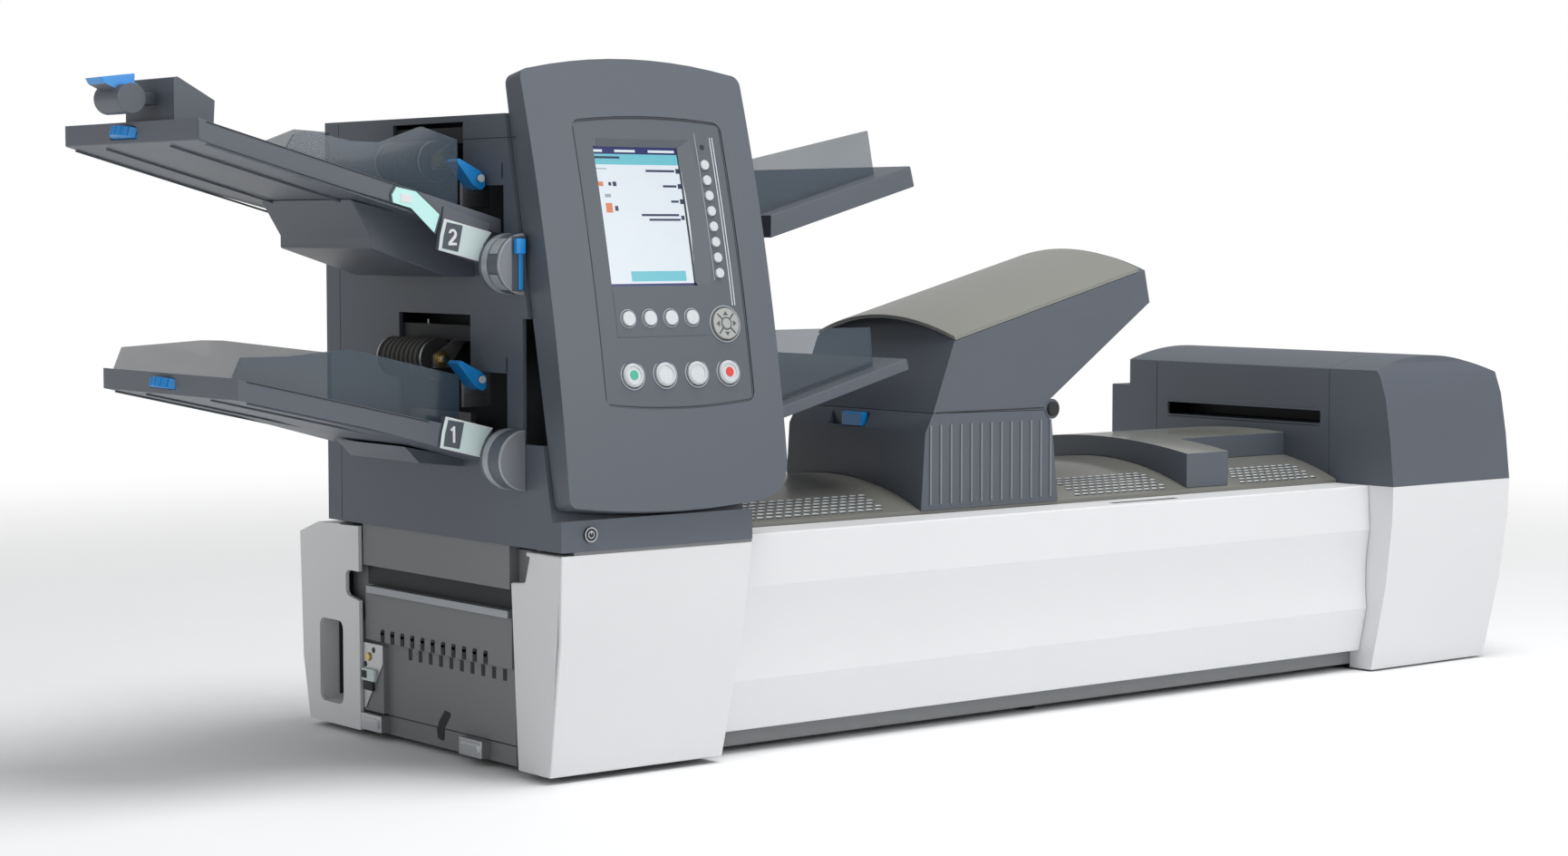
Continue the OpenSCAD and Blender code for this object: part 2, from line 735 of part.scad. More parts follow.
module panel_door() color(slate) on_panel() {
    difference() {
        intersection() {
            slab(panel_outline, -panel_t, panel_bow + past);
            below_face(0);
        }
        difference() {
            slab(inset(fascia_outline, -slack), 0, panel_bow + 2 * past);
            below_face(fascia_back + slack);
        }
        intersection() {
            slab(inset(panel_outline, panel_rim), -panel_t + wall, panel_bow);
            below_face(panel_skin);
        }
        slab(inset(fascia_outline, ledge), -panel_t + 2 * wall, panel_bow + past);
    }
    for (s = [hinge_s0, hinge_s1]) panel_knuckle(s);
}

// Every key of the plate: name, place across, place along, radius
large_names = ["start_key", "trial_key", "deck_key", "stop_key"];
keys = concat(
    [for (i = [1:8]) [str("soft_key_", i), soft_x, soft_s + (8 - i) * soft_pitch, soft_r]],
    [for (i = [1:4]) [str("function_key_", i), function_x + (i - 1) * function_pitch, function_s, function_r]],
    [["nav_key", soft_x, nav_s, nav_r]],
    [for (i = [0:3]) [large_names[i], large_x + i * large_pitch, large_s, large_r]]);

module panel_fascia() color(taupe) on_panel() {
    difference() {
        intersection() {
            slab(fascia_outline, -panel_t, panel_bow + past);
            difference() {
                below_face(fascia_dip);
                below_face(fascia_back);
            }
        }
        for (k = keys)
            translate([k[1], k[2], 0]) cylinder(r = k[3] + slack, h = panel_bow + past);
        translate([screen_x0, screen_s0, 0])
            cube([screen_x1 - screen_x0, screen_s1 - screen_s0, panel_bow + past]);
    }
}

// The screen overlaps its opening by this lip
screen_lip = 3;
screen_t = 5;

module display_screen() color(blue) on_panel() {
    intersection() {
        translate([screen_x0 - screen_lip, screen_s0 - screen_lip, -panel_t])
            cube([screen_x1 - screen_x0 + 2 * screen_lip, screen_s1 - screen_s0 + 2 * screen_lip, 2 * panel_t]);
        difference() {
            below_face(fascia_back + slack);
            below_face(fascia_back + slack + screen_t);
        }
    }
}

// A key has a cap through the plate and a flange behind it
key_flange = 1.5;
key_flange_t = 2;

module plate_key(k) color(pearl) on_panel() {
    back = bow_at(k[2]) - fascia_back - slack - key_flange / 2;
    translate([k[1], k[2], back - key_flange_t])
        cylinder(r = k[3], h = key_flange_t + slack + key_flange / 2 + fascia_t + key_rise);
    translate([k[1], k[2], back - key_flange_t]) cylinder(r = k[3] + key_flange, h = key_flange_t);
}

// Trays on the left

tray_a_slope = 12.8;
tray_c_slope = 15.6;
// Each left tray: reach, height of its end, slope, thickness at the tower, drop of its label
tray_a_form = [tray_a_reach, tray_a_z, tray_a_slope, 24, 0];
tray_c_form = [tray_c_reach, tray_c_z, tray_c_slope, 13.5, -23];
function top_z(f, x) = f[1] - (x + f[0]) * tan(f[2]);

module on_tray(f) {
    translate([-f[0], 0, f[1]]) rotate([0, f[2], 0]) children();
}

// Middle of the wheel's slot below the tray's face
wheel_z = -tray_t / 2 + 0.4;

module wheel_slot(f) {
    on_tray(f) translate([wheel_in, wheel_y, wheel_z]) difference() {
        cylinder(r = wheel_r + 2 * past, h = wheel_t + 2 * slack, center = true);
        cylinder(r = wheel_pin_r, h = wheel_t + 4 * slack, center = true);
    }
}

module guide_wheel(f) color(blue) high() {
    on_tray(f) translate([wheel_in, wheel_y, wheel_z]) difference() {
        cylinder(r = wheel_r, h = wheel_t, center = true);
        cylinder(r = wheel_pin_r + bore_gap, h = wheel_t + past, center = true);
    }
}

module left_tray(f) {
    knee = -f[0] * 0.5;
    difference() {
        prism_y([[-f[0], f[1] - tray_t], [knee, top_z(f, knee) - tray_t], [0, top_z(f, 0) - f[3]],
                 [0, top_z(f, 0)], [-f[0], f[1]]], -tray_half, tray_half);
        wheel_slot(f);
    }
    prism_y([[-65, top_z(f, -65) + f[4] - 21], [-22, top_z(f, -22) + f[4] - 22],
             [-12, top_z(f, -12) + f[4] / 2 + 4], [-60, top_z(f, -60) + f[4] / 2 + 6]],
            -tray_half - 2.5, -tray_half + wall);
}

module tray_a() color(slate) high() {
    left_tray(tray_a_form);
    z = top_z(tray_a_form, 0) - tray_a_form[3];
    prism_y([[-60, z + 14], [-45, z - 1], [0, z - 6], [0, z + past]], -60, 60);
}

module tray_c() color(slate) high() {
    left_tray(tray_c_form);
    z = top_z(tray_c_form, 0) - tray_c_form[3];
    prism_y([[-123, z + 30], [-104, z - 1], [-104, z - 12], [-27, z - 37], [0, z - 37], [0, z + past]], -80, 80);
}

// A guide stands on its tray with its upper outline given as [x, height]
module left_guide(f, outline, side) color(smoke) high() {
    foot = [for (x = [outline[0][0] - 8, -guide_gap]) [x, top_z(f, x) + slack]];
    tops = [for (i = [len(outline) - 1:-1:0]) [outline[i][0], top_z(f, outline[i][0]) + outline[i][1]]];
    y0 = side > 0 ? guide_half - guide_t : -guide_half;
    prism_y(concat(foot, tops), y0, y0 + guide_t);
}

guide_front_a_outline = [[-tray_a_reach + 10, 19], [-tray_a_reach + 54, 29], [-tray_a_reach + 112, 46.5],
                         [-guide_gap, 46]];
guide_rear_a_outline = [[-tray_a_reach + 11, 21], [-tray_a_reach + 89, 43], [-tray_a_reach + 110, 47],
                        [-guide_gap, 58]];
guide_front_c_outline = [[-195, 15], [-183, 22], [-140, 26], [-112, 33.4], [-72, 58.6], [-guide_gap, 58]];
guide_rear_c_outline = [[-195, 15], [-183, 24], [-112, 36], [-72, 62], [-guide_gap, 70]];

module back_stop() color(blue) high() {
    f = tray_c_form;
    bx = -f[0] + 19;
    grip_x = -f[0] - 8;
    grip_z = top_z(f, grip_x) + stop_r + 4;
    prism_y([[bx, top_z(f, bx) + slack], [bx + 36, top_z(f, bx + 36) + slack], [bx + 38, f[1] + 18],
             [bx + 4, f[1] + 37], [bx, f[1] + 36]], -stop_half, stop_half);
    rod_y(grip_x, grip_z, stop_r, -stop_half / 2, stop_half / 2);
    box(grip_x, bx + past, -stop_half / 3, stop_half / 3, grip_z - 5, grip_z + 5);
    prism_y([[stop_tip, f[1] + 36], [stop_tip + 3, f[1] + 31], [grip_x - 6, grip_z + 5], [grip_x + 6, grip_z + 5],
             [-f[0] - 1, f[1] + 37], [-f[0] - 1, f[1] + 40]], -stop_half / 3, stop_half / 3);
}

// Trays on the right: heights at the tower, tip, and thickness there, above the base
tray_b_form = [71.8, hopper_x - 6, 140.1, 11.7];
tray_d_form = [242.4, hopper_x, 315.9, 21.3];
function rest_z(f, x) = f[0] + f[3] + (x - tower_w) * (f[2] - f[0]) / (f[1] - tower_w);

module right_tray(f) color(slate) high() {
    difference() {
        prism_y([[tower_w, f[0]], [f[1], f[2]], [f[1] - f[3] / 4, rest_z(f, f[1] - f[3] / 4)], [tower_w, f[0] + f[3]]],
                -rest_half, rest_half);
        for (side = [-1, 1])
            box(tower_w - past, neck_x, min(side * neck_half, side * 2 * rest_half),
                max(side * neck_half, side * 2 * rest_half), 0, tower_h);
    }
}

module right_guide(f, x0, x1, lean, z0, z1, side) color(smoke) high() {
    y0 = side > 0 ? guide_half - guide_t : -guide_half;
    prism_y([[x0, rest_z(f, x0) + slack], [x1, rest_z(f, x1) + slack], [x1 - lean, z1], [x0, z0]], y0, y0 + guide_t);
}

guide_b_x0 = tower_w + 66;
guide_b_x1 = hopper_x - 37;
guide_b_z = 181;
guide_d_x0 = tower_w + 70;
guide_d_x1 = hopper_x - 36;
guide_d_z0 = 338;
guide_d_z1 = 369;

// Hopper, from its left end

base_top_z = 97.2;
hopper_base_l = 181.4;
hopper_side = 15.4;
hopper_cheek = 18.5;
hopper_foot_z = seam;
pivot_x = hopper_x + 172.7;
pivot_z = base_top_z - 1;
lid_x = hopper_x + 42.8;
lid_z = base_top_z + 72.5;
lid_l = 258;
ear_l = 6;

hopper_base_outline = [
    [hopper_x, hopper_foot_z + 1], [hopper_x + hopper_base_l, hopper_foot_z],
    [pivot_x - 1, base_top_z - 11], [pivot_x - ear_r, base_top_z - 2], [hopper_x + hopper_side, base_top_z],
    [hopper_x + hopper_side / 3, base_top_z - hopper_cheek]];
// The head's sides run on above the lid's edge, up to the vault
head_outline = [
    [hopper_x + hopper_side, base_top_z + seam], [hopper_x + 165.5, base_top_z - 2 + seam],
    [hopper_x + 168.6, base_top_z + 8], [hopper_x + 308.4, base_top_z + 103.3],
    [hopper_x + 301.7, base_top_z + 133.2], [hopper_x + 293, base_top_z + 169.6],
    [hopper_x + 57.6, base_top_z + 109]];
head_hollow = [
    [hopper_x + 20, base_top_z - 20], [hopper_x + 161.5, base_top_z - 20],
    [hopper_x + 164.5, base_top_z + 10], [hopper_x + 303.8, base_top_z + 105.3],
    [hopper_x + 297.1, base_top_z + 132.6], [hopper_x + 288.9, base_top_z + 169.6 + 60],
    [hopper_x + 84.3, base_top_z + 109 + 60]];

// Everything under the deck's crown, with a margin
module under_deck(m, x0, x1) {
    rod_x(0, deck_rise - deck_r, deck_r + m, x0, x1);
}

// Recess of the sliding latch in the base's left wall
latch_y0 = -48;
latch_l = 31;
latch_travel = 18;
latch_end = 5;
latch_y1 = latch_y0 + latch_l + latch_travel + 2 * latch_end;
latch_x = hopper_x + 14;
latch_z0 = base_top_z - 17;
latch_z1 = base_top_z - 3;

module pivot_cut(m, y0, y1) {
    rod_y(pivot_x, pivot_z, ear_r + m, y0, y1);
}

module hopper_base() color(slate) high() {
    difference() {
        prism_y(hopper_base_outline, -hopper_front, hopper_back);
        difference() {
            prism_y(inset(concat([[hopper_x, -wall * 10], [hopper_x + hopper_base_l, -wall * 10]],
                                 [for (i = [2:5]) hopper_base_outline[i]]), wall),
                    -hopper_front + wall, hopper_back - wall);
            box(hopper_x, latch_x + wall, latch_y0 - wall, latch_y1 + wall, latch_z0 - wall, base_top_z);
        }
        under_deck(slack, hopper_x - past, hopper_x + 200);
        box(hopper_x - past, latch_x, latch_y0, latch_y1, latch_z0, latch_z1);
        pivot_cut(2 * slack, -hopper_front - past, -hopper_front + ear_l + slack);
        pivot_cut(2 * slack, hopper_back - ear_l - slack, hopper_back + past);
    }
    for (y = [[-hopper_front, -hopper_front + ear_l + slack], [hopper_back, hopper_back - ear_l - slack]]) {
        way = y[0] < 0 ? 1 : -1;
        rod_y(pivot_x, pivot_z, pivot_r, min(y[0], y[1] + way * 2), max(y[0], y[1] + way * 2));
        intersection() {
            rod_y(pivot_x, pivot_z, ear_r, min(y[1], y[1] + way * 8), max(y[1], y[1] + way * 8));
            box(pivot_x - 2 * ear_r, pivot_x + 2 * ear_r, -hopper_front, hopper_back, 0, pivot_z + pivot_r);
        }
    }
}

// Everything under the hopper's vault, less a margin, in the frame of the sloping lid
module under_vault(m) {
    translate([lid_x, 0, lid_z]) rotate([0, -hopper_slope, 0])
        rod_x(-vault_y, vault_rise - vault_r, vault_r - m, -hopper_x, hopper_x);
}

module hopper_head() color(slate) high() {
    difference() {
        intersection() {
            prism_y(head_outline, -hopper_front, hopper_back);
            under_vault(wall + slack);
        }
        prism_y(head_hollow, -hopper_front + wall, hopper_back - wall);
        for (y = [[-hopper_front + ear_l, -hopper_front + ear_l + 9], [hopper_back - ear_l - 9, hopper_back - ear_l]])
            pivot_cut(2 * slack, y[0], y[1]);
        rod_y(pivot_x, pivot_z, pivot_r + bore_gap, -hopper_front - past, hopper_back + past);
    }
    for (y = [-hopper_front, hopper_back - ear_l])
        difference() {
            rod_y(pivot_x, pivot_z, ear_r, y, y + ear_l);
            rod_y(pivot_x, pivot_z, pivot_r + bore_gap, y - past, y + ear_l + past);
        }
}

module hopper_cover() color(taupe) high() {
    intersection() {
        difference() {
            under_vault(0);
            under_vault(wall);
        }
        translate([lid_x, 0, lid_z]) rotate([0, -hopper_slope, 0])
            box(0, lid_l, -hopper_front, hopper_back, base_top_z - lid_z, 2 * vault_rise);
    }
}

module hopper_latch() color(blue) high() {
    box(latch_x - 8, latch_x - slack, latch_y0 + latch_end, latch_y0 + latch_end + latch_l, latch_z0 + slack, latch_z1 - slack);
}

// Deck and the cover beyond the hopper

deck_half = sqrt(deck_r * deck_r - pow(deck_r - deck_rise + wall, 2));

module deck_cover() color(slate) high() {
    intersection() {
        difference() {
            under_deck(0, tower_w + seam, exit_x - seam);
            under_deck(-wall, 0, exit_end);
        }
        box(0, exit_end, -deck_half, deck_half, 0, 2 * deck_rise);
    }
    for (y = [-deck_half, deck_half - 2 * wall])
        box(tower_w + seam, exit_x - seam, y, y + 2 * wall, 0, wall);
}

// Plan of that cover: a deep block, then a narrower part with its face set back
mid_front = 135;
mid_step = 62;
mid_block = 62;
mid_r = 786;

module mid_solid(m) {
    intersection() {
        rod_x(0, mid_rise - mid_r, mid_r - m, mid_x + m, exit_x - seam - m);
        union() {
            box(mid_x, mid_x + mid_block - m, -mid_front + m, mid_front - m, 0, 2 * mid_rise);
            box(mid_x, exit_x, -mid_step + m, mid_step - m, 0, 2 * mid_rise);
        }
    }
}

module mid_cover() color(slate) high() {
    difference() {
        mid_solid(0);
        mid_solid(wall);
        under_deck(slack, mid_x - past, exit_x + past);
    }
}

// Exit

// The arch's crest lies this far right of the left face
hood_in = 88;
// How far the hood's right end leans in over twice its height
hood_lean = 5;
// The seam between the hood and the housing with the slot
hood_seam = -126;
// The housing drops to a low part at the back
rear_step = 181;
rear_h = 94;
slot_y0 = -113;
slot_y1 = 118;
slot_l = 120;
hood_profile = [[-exit_front, 0], [exit_back, 0], [exit_back, rear_h], [rear_step, rear_h],
                [rear_step, 2 * hood_rise], [-exit_front + 45, 2 * hood_rise], [-exit_front + 30, hood_rise - 7],
                [-exit_front + 20, hood_rise - 21], [-exit_front + 12, hood_rise - 44], [-exit_front + 5, hood_rise - 88]];
hood_outline = [[exit_x, 0], [exit_end, 0], [exit_end - hood_lean, 2 * hood_rise], [exit_x, 2 * hood_rise]];

// The hood with its housing, each wall moved in by m
module hood_solid(m) {
    intersection() {
        rod_y(exit_x + hood_in, hood_rise - hood_r, hood_r - m, -exit_front, exit_back, $fn = fine);
        prism_x(inset(hood_profile, m), exit_x, exit_end);
        prism_y(inset(hood_outline, m), -exit_front, exit_back);
    }
}

// Part of the hood between two places in depth, open below
module hood_part(y0, y1, hollow_y0, hollow_y1) {
    difference() {
        intersection() {
            hood_solid(0);
            box(exit_x - past, exit_end + past, y0, y1, -past, 2 * hood_rise);
        }
        intersection() {
            hood_solid(wall);
            box(exit_x, exit_end, hollow_y0, hollow_y1, 0, 2 * hood_rise);
        }
        box(exit_x + wall, exit_end - 2 * wall, max(hollow_y0, -exit_front + 2 * wall), min(hollow_y1, exit_back - wall),
            -past, 2 * wall);
    }
}

module exit_cover() color(slate) high()
    hood_part(-exit_front, hood_seam - seam, -exit_front, hood_seam);

module exit_housing() color(slate) high() {
    difference() {
        hood_part(hood_seam, exit_back, hood_seam + wall, exit_back);
        box(exit_x - past, exit_x + 2 * wall, slot_y0, slot_y1, slot_z, slot_z + slot_h);
    }
    for (z = [slot_z - wall, slot_z + slot_h])
        box(exit_x + wall / 2, exit_x + slot_l, slot_y0, slot_y1, z, z + wall);
}

// White lower cover: its side outline and its end profile, from the base's lower edge
exit_lean = 7;
exit_tuck = 28;
// Its lower edge lies this far below the other white covers
exit_drop = 4;
rear_tuck = 17;
exit_base_outline = [[exit_x, -exit_drop], [exit_end - exit_lean, -exit_drop], [exit_end, base_h], [exit_x, base_h]];
exit_base_profile = [[-exit_front + exit_tuck, -exit_drop], [rear_cover_reach - rear_tuck, -exit_drop],
                     [rear_cover_reach - 5, base_h * 0.3],
                     [rear_cover_reach, base_h], [-exit_front, base_h], [-exit_front + 1, base_h * 0.8],
                     [-exit_front + 9, base_h * 0.45]];

module exit_base_solid(m) {
    intersection() {
        prism_y(inset(exit_base_outline, m), -exit_front, rear_cover_reach);
        prism_x(inset(exit_base_profile, m), exit_x, exit_end);
    }
}

module exit_base_cover() color(white) low() {
    difference() {
        exit_base_solid(0);
        exit_base_solid(wall);
        box(exit_x + wall, exit_end - exit_lean - wall, -exit_front + exit_tuck + wall,
            rear_cover_reach - rear_tuck - wall, -exit_drop - past, 2 * wall);
        box(exit_x - past, chassis_end + past, -chassis_half, chassis_half, -exit_drop - past, base_h + past);
    }
}

base_frame();
front_panel();
rear_panel();
feeder_front_cover();
feeder_rear_cover();
docking_plates();
feet();
fold_roller(fold_upper_z());  // fold_roller_upper
fold_roller(fold_z);  // fold_roller_lower
tower_shell();
feed_frame();
panel_door();
panel_fascia();
display_screen();
for (k = keys)
    plate_key(k);
power_key();
tray_a();
right_tray(tray_b_form);  // tray_b
tray_c();
right_tray(tray_d_form);  // tray_d
left_guide(tray_a_form, guide_front_a_outline, -1);  // guide_front_a
left_guide(tray_a_form, guide_rear_a_outline, 1);  // guide_rear_a
right_guide(tray_b_form, guide_b_x0, guide_b_x1, 3, guide_b_z, guide_b_z, -1);  // guide_front_b
right_guide(tray_b_form, guide_b_x0, guide_b_x1, 3, guide_b_z, guide_b_z, 1);  // guide_rear_b
left_guide(tray_c_form, guide_front_c_outline, -1);  // guide_front_c
left_guide(tray_c_form, guide_rear_c_outline, 1);  // guide_rear_c
right_guide(tray_d_form, guide_d_x0, guide_d_x1, 8, guide_d_z0, guide_d_z1, -1);  // guide_front_d
right_guide(tray_d_form, guide_d_x0, guide_d_x1, 8, guide_d_z0, guide_d_z1, 1);  // guide_rear_d
guide_wheel(tray_a_form);  // guide_wheel_a
guide_wheel(tray_c_form);  // guide_wheel_c
back_stop();
feed_lever(roller_a_z);  // feed_lever_a
feed_lever(roller_c_z);  // feed_lever_c
feed_roller(roller_a_z);  // feed_roller_a
feed_roller(roller_c_z);  // feed_roller_c
hopper_base();
hopper_head();
hopper_cover();
hopper_latch();
deck_cover();
mid_cover();
exit_housing();
exit_cover();
exit_base_cover();
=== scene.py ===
# %% [markdown]
# # A folder inserter, dressed for a studio picture
# The CAD model already has every housing, tray and key at its true size. This lesson gives those
# solids softened edges and moulded finishes, and then adds the details that a maker moulds into
# them: ribs, louvres, seams, labels, screws and a lit screen.

# %% Load the frame
import json
import math

import bpy
from mathutils import Matrix, Vector


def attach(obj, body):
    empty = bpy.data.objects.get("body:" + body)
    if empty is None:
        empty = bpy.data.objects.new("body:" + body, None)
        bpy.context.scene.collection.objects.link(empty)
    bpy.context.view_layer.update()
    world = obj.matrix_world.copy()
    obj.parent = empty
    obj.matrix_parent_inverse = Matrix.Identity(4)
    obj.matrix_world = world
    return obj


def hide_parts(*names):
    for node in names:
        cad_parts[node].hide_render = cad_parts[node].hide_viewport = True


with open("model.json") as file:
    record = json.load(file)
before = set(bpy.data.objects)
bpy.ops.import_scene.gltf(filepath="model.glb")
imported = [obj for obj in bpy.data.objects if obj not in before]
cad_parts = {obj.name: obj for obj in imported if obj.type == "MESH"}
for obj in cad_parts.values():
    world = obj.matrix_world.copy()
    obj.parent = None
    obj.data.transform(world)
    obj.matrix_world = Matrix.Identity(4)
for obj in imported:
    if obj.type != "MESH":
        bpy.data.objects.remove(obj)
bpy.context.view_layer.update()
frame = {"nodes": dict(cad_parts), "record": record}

# %% [markdown]
# ## One ruler for the whole machine
# The machine was measured in millimetres: x from the feeder tower's left face, y from the middle of
# its depth, z from the lower edge of the white covers. The frame has its origin under the middle of
# the machine, so one function moves a measured point there. The leaning control panel and the two feed
# trays get a frame of their own, because their details are easier to place flat.

# %% Rulers
MM = 0.001
RULER_ZERO = Vector((470.5, 6.6527, -6.0))
BASE_TOP = 196.0


def at(x, y, z):
    """A measured point, in metres in the frame."""
    return (Vector((x, y, z)) - RULER_ZERO) * MM


def tilted(x, y, z, axis, degrees):
    """A local frame at a measured point, turned about one axis."""
    return Matrix.Translation(at(x, y, z)) @ Matrix.Rotation(math.radians(degrees), 4, axis)


PANEL_TILT, PANEL_FOOT = 11.5, BASE_TOP + 39
PANEL = tilted(0, -222, PANEL_FOOT, "X", 90 - PANEL_TILT)
TRAY_C_X, TRAY_C_Z = -289, BASE_TOP + 364.5
TRAY_A = tilted(-256, 0, BASE_TOP + 153, "Y", 12.8)
TRAY_C = tilted(TRAY_C_X, 0, TRAY_C_Z, "Y", 15.6)
PANEL_BOW = 10.0
BOW_RADIUS = 2028.0
BOW_MIDDLE = 192.65


def bow(s):
    """Height of the panel's bowed face at a place along the panel."""
    return PANEL_BOW - BOW_RADIUS + math.sqrt(BOW_RADIUS**2 - (s - BOW_MIDDLE) ** 2)


print("panel's face bulges by", round(bow(BOW_MIDDLE), 1), "mm")

# %% [markdown]
# ## Camera
# A long lens from the front left, a little above the deck, gives the same view of the tower, the
# trays and the exit hood as the picture that this part was measured from. The camera could follow a
# target, but a fixed place and two angles are plainer.

# %% Camera
camera_data = bpy.data.cameras.new("studio_camera")
camera_data.lens = 68.67
camera_data.sensor_width = 36.0
camera = bpy.data.objects.new("studio_camera", camera_data)
camera.location = (-1.8850, -2.32495, 0.476)
camera.rotation_euler = (math.radians(86.22), 0, math.radians(-38.2))
bpy.context.scene.collection.objects.link(camera)
bpy.context.scene.camera = camera
print("camera at", [round(v, 3) for v in camera.location])

# %% [markdown]
# ## Shader maths as Python
# A material is a chain of nodes. This small class wraps one output of a node, so that plus, minus and
# times add Math nodes, and one method adds any other node. Nodes could also be added and linked one by
# one, but this way the finishes below read like formulas.


# %% Wires
class Wire:
    """One output of a material's node, with Python's operators."""

    def __init__(self, socket):
        self.socket = socket

    def node(self, kind, settings, values, out=0):
        """Adds a node: its settings first, then the values or wires of its sockets."""
        tree = self.socket.id_data
        made = tree.nodes.new(kind)
        for name, value in settings.items():
            if name == "stops":
                ramp = made.color_ramp.elements
                while len(ramp) < len(value):
                    ramp.new(0.5)
                for stop, (place, colour) in zip(ramp, value):
                    stop.position, stop.color = place, colour
            else:
                setattr(made, name, value)
        for name, value in values.items():
            if isinstance(value, Wire):
                tree.links.new(value.socket, made.inputs[name])
            else:
                made.inputs[name].default_value = value
        return Wire(made.outputs[out])

    def maths(self, operation, first, second):
        return self.node("ShaderNodeMath", {"operation": operation}, {0: first, 1: second})

    def __add__(self, other):
        return self.maths("ADD", self, other)

    __radd__ = __add__

    def __mul__(self, other):
        return self.maths("MULTIPLY", self, other)

    __rmul__ = __mul__

    def __sub__(self, other):
        return self.maths("SUBTRACT", self, other)

    def __rsub__(self, other):
        return self.maths("SUBTRACT", other, self)

    def blend(self, low, high):
        """Mixes two colours by this value."""
        return self.node("ShaderNodeMix", {"data_type": "RGBA"}, {0: self, 6: low, 7: high}, out=2)


def paint(red, green, blue, shade=1.0):
    """A colour as a paint chart gives it, from 0 to 255, made linear for the shader."""
    line = [c / 255 / 12.92 if c <= 10 else ((c / 255 + 0.055) / 1.055) ** 2.4 for c in (red, green, blue)]
    return (*[min(1.0, c * shade) for c in line], 1.0)


# %% [markdown]
# ## Finishes
# Injection-moulded plastic is never one flat colour: the tool leaves a fine grain, and the gloss
# drifts a little over a large cover. Each plastic could have nodes of its own, but one recipe keeps them
# alike: a cloud for the drift, and a fine grain that feeds colour, roughness and bump together.


# %% Plastic recipe
def finish(name):
    """A new material: its shader node, and a wire with Object coordinates."""
    material = bpy.data.materials.new(name)
    material.use_nodes = True
    tree = material.node_tree
    shader = next(n for n in tree.nodes if n.type == "BSDF_PRINCIPLED")
    place = Wire(tree.nodes.new("ShaderNodeTexCoord").outputs["Object"])
    return material, shader, place


def join(wire, shader, socket):
    wire.socket.id_data.links.new(wire.socket, shader.inputs[socket])


def noise(place, scale, detail=2.0):
    return place.node("ShaderNodeTexNoise", {}, {"Vector": place, "Scale": scale, "Detail": detail})


def bump(height, strength, distance):
    return height.node("ShaderNodeBump", {}, {"Height": height, "Strength": strength, "Distance": distance})


def plastic(name, colour, roughness, grain=900.0, depth=0.12, coat=0.0, drift=0.1):
    material, shader, place = finish(name)
    cloud = noise(place, 5.0, 4.0)
    tooth = noise(place, grain)
    tone = cloud * 0.6 + tooth * 0.4
    dark, light = paint(*colour, 1 - drift), paint(*colour, 1 + drift)
    join(tone.blend(dark, light), shader, "Base Color")
    join(cloud * 0.12 + tooth * 0.1 + (roughness - 0.11), shader, "Roughness")
    join(bump(tooth, depth, 0.0003), shader, "Normal")
    shader.inputs["Coat Weight"].default_value = coat
    shader.inputs["Coat Roughness"].default_value = 0.08
    return material


# %% Plastics and rubber
SLATE = plastic("slate_plastic", (82, 88, 97), 0.42)
TOWER_SLATE = plastic("tower_slate", (81, 88, 98), 0.45)
TAUPE = plastic("taupe_gloss", (126, 127, 121), 0.22, coat=0.35, depth=0.04)
DECK = plastic("deck_gloss", (112, 112, 107), 0.24, coat=0.3, depth=0.04)
FASCIA = plastic("key_plate_slate", (78, 84, 92), 0.4)
WHITE = plastic("white_plastic", (216, 217, 219), 0.4, depth=0.06, drift=0.03)
BLUE = plastic("blue_plastic", (22, 138, 214), 0.34, depth=0.05, coat=0.15)
PEARL = plastic("pearl_plastic", (190, 195, 198), 0.28, depth=0.03, coat=0.3, drift=0.05)
CHASSIS = plastic("chassis_paint", (118, 120, 122), 0.5, grain=600.0, depth=0.2)
# DARK is the colour of dark parts and seams, and it also paints shade: in gaps, slots, holes, bends and throats.
DARK = plastic("dark_and_painted_shade", (30, 33, 37), 0.6)
GREY_RUBBER = plastic("grey_rubber", (86, 84, 80), 0.65, grain=500.0, depth=0.3)
RUBBER = plastic("black_rubber", (36, 37, 39), 0.75, grain=500.0, depth=0.3)
LABEL = plastic("label_plate", (196, 213, 212), 0.4, depth=0.03, drift=0.04)
INK = plastic("label_ink", (70, 78, 86), 0.5, depth=0.03)
SILVER = plastic("nav_silver", (156, 158, 155), 0.24, depth=0.03, coat=0.4)
RIM = plastic("grey_rim", (150, 155, 160), 0.3, depth=0.03, coat=0.2)
DRUM = plastic("drum_face", (122, 125, 131), 0.4, depth=0.05)
CYAN = plastic("pale_cyan", (186, 232, 228), 0.4, depth=0.03, drift=0.04)
GREEN = plastic("start_green", (30, 160, 130), 0.3, depth=0.03, coat=0.2)
RED = plastic("stop_red", (206, 52, 44), 0.3, depth=0.03, coat=0.2)
print(len(bpy.data.materials), "materials with the plastics")

# %% [markdown]
# Brushed steel is the same idea with the grain drawn out: the noise is squeezed in one direction, so
# that it becomes fine lines, and these lines only change the roughness and the tone a little. The guides
# are smoked acrylic. Glass would bend the light, but thin sheet hardly does, so Alpha makes it see-through.


# %% Metal and smoked acrylic
def metal(name, colour, roughness):
    material, shader, place = finish(name)
    drawn = place.node("ShaderNodeMapping", {}, {"Vector": place, "Scale": (40.0, 900.0, 900.0)})
    lines = noise(drawn, 1.0, 3.0)
    join(lines.blend(paint(*colour, 0.85), paint(*colour, 1.12)), shader, "Base Color")
    join(lines * 0.2 + (roughness - 0.1), shader, "Roughness")
    shader.inputs["Metallic"].default_value = 1.0
    return material


STEEL = metal("brushed_steel", (190, 191, 193), 0.36)
CHROME = metal("bright_steel", (215, 217, 220), 0.18)
BRASS = metal("brass", (206, 178, 112), 0.3)


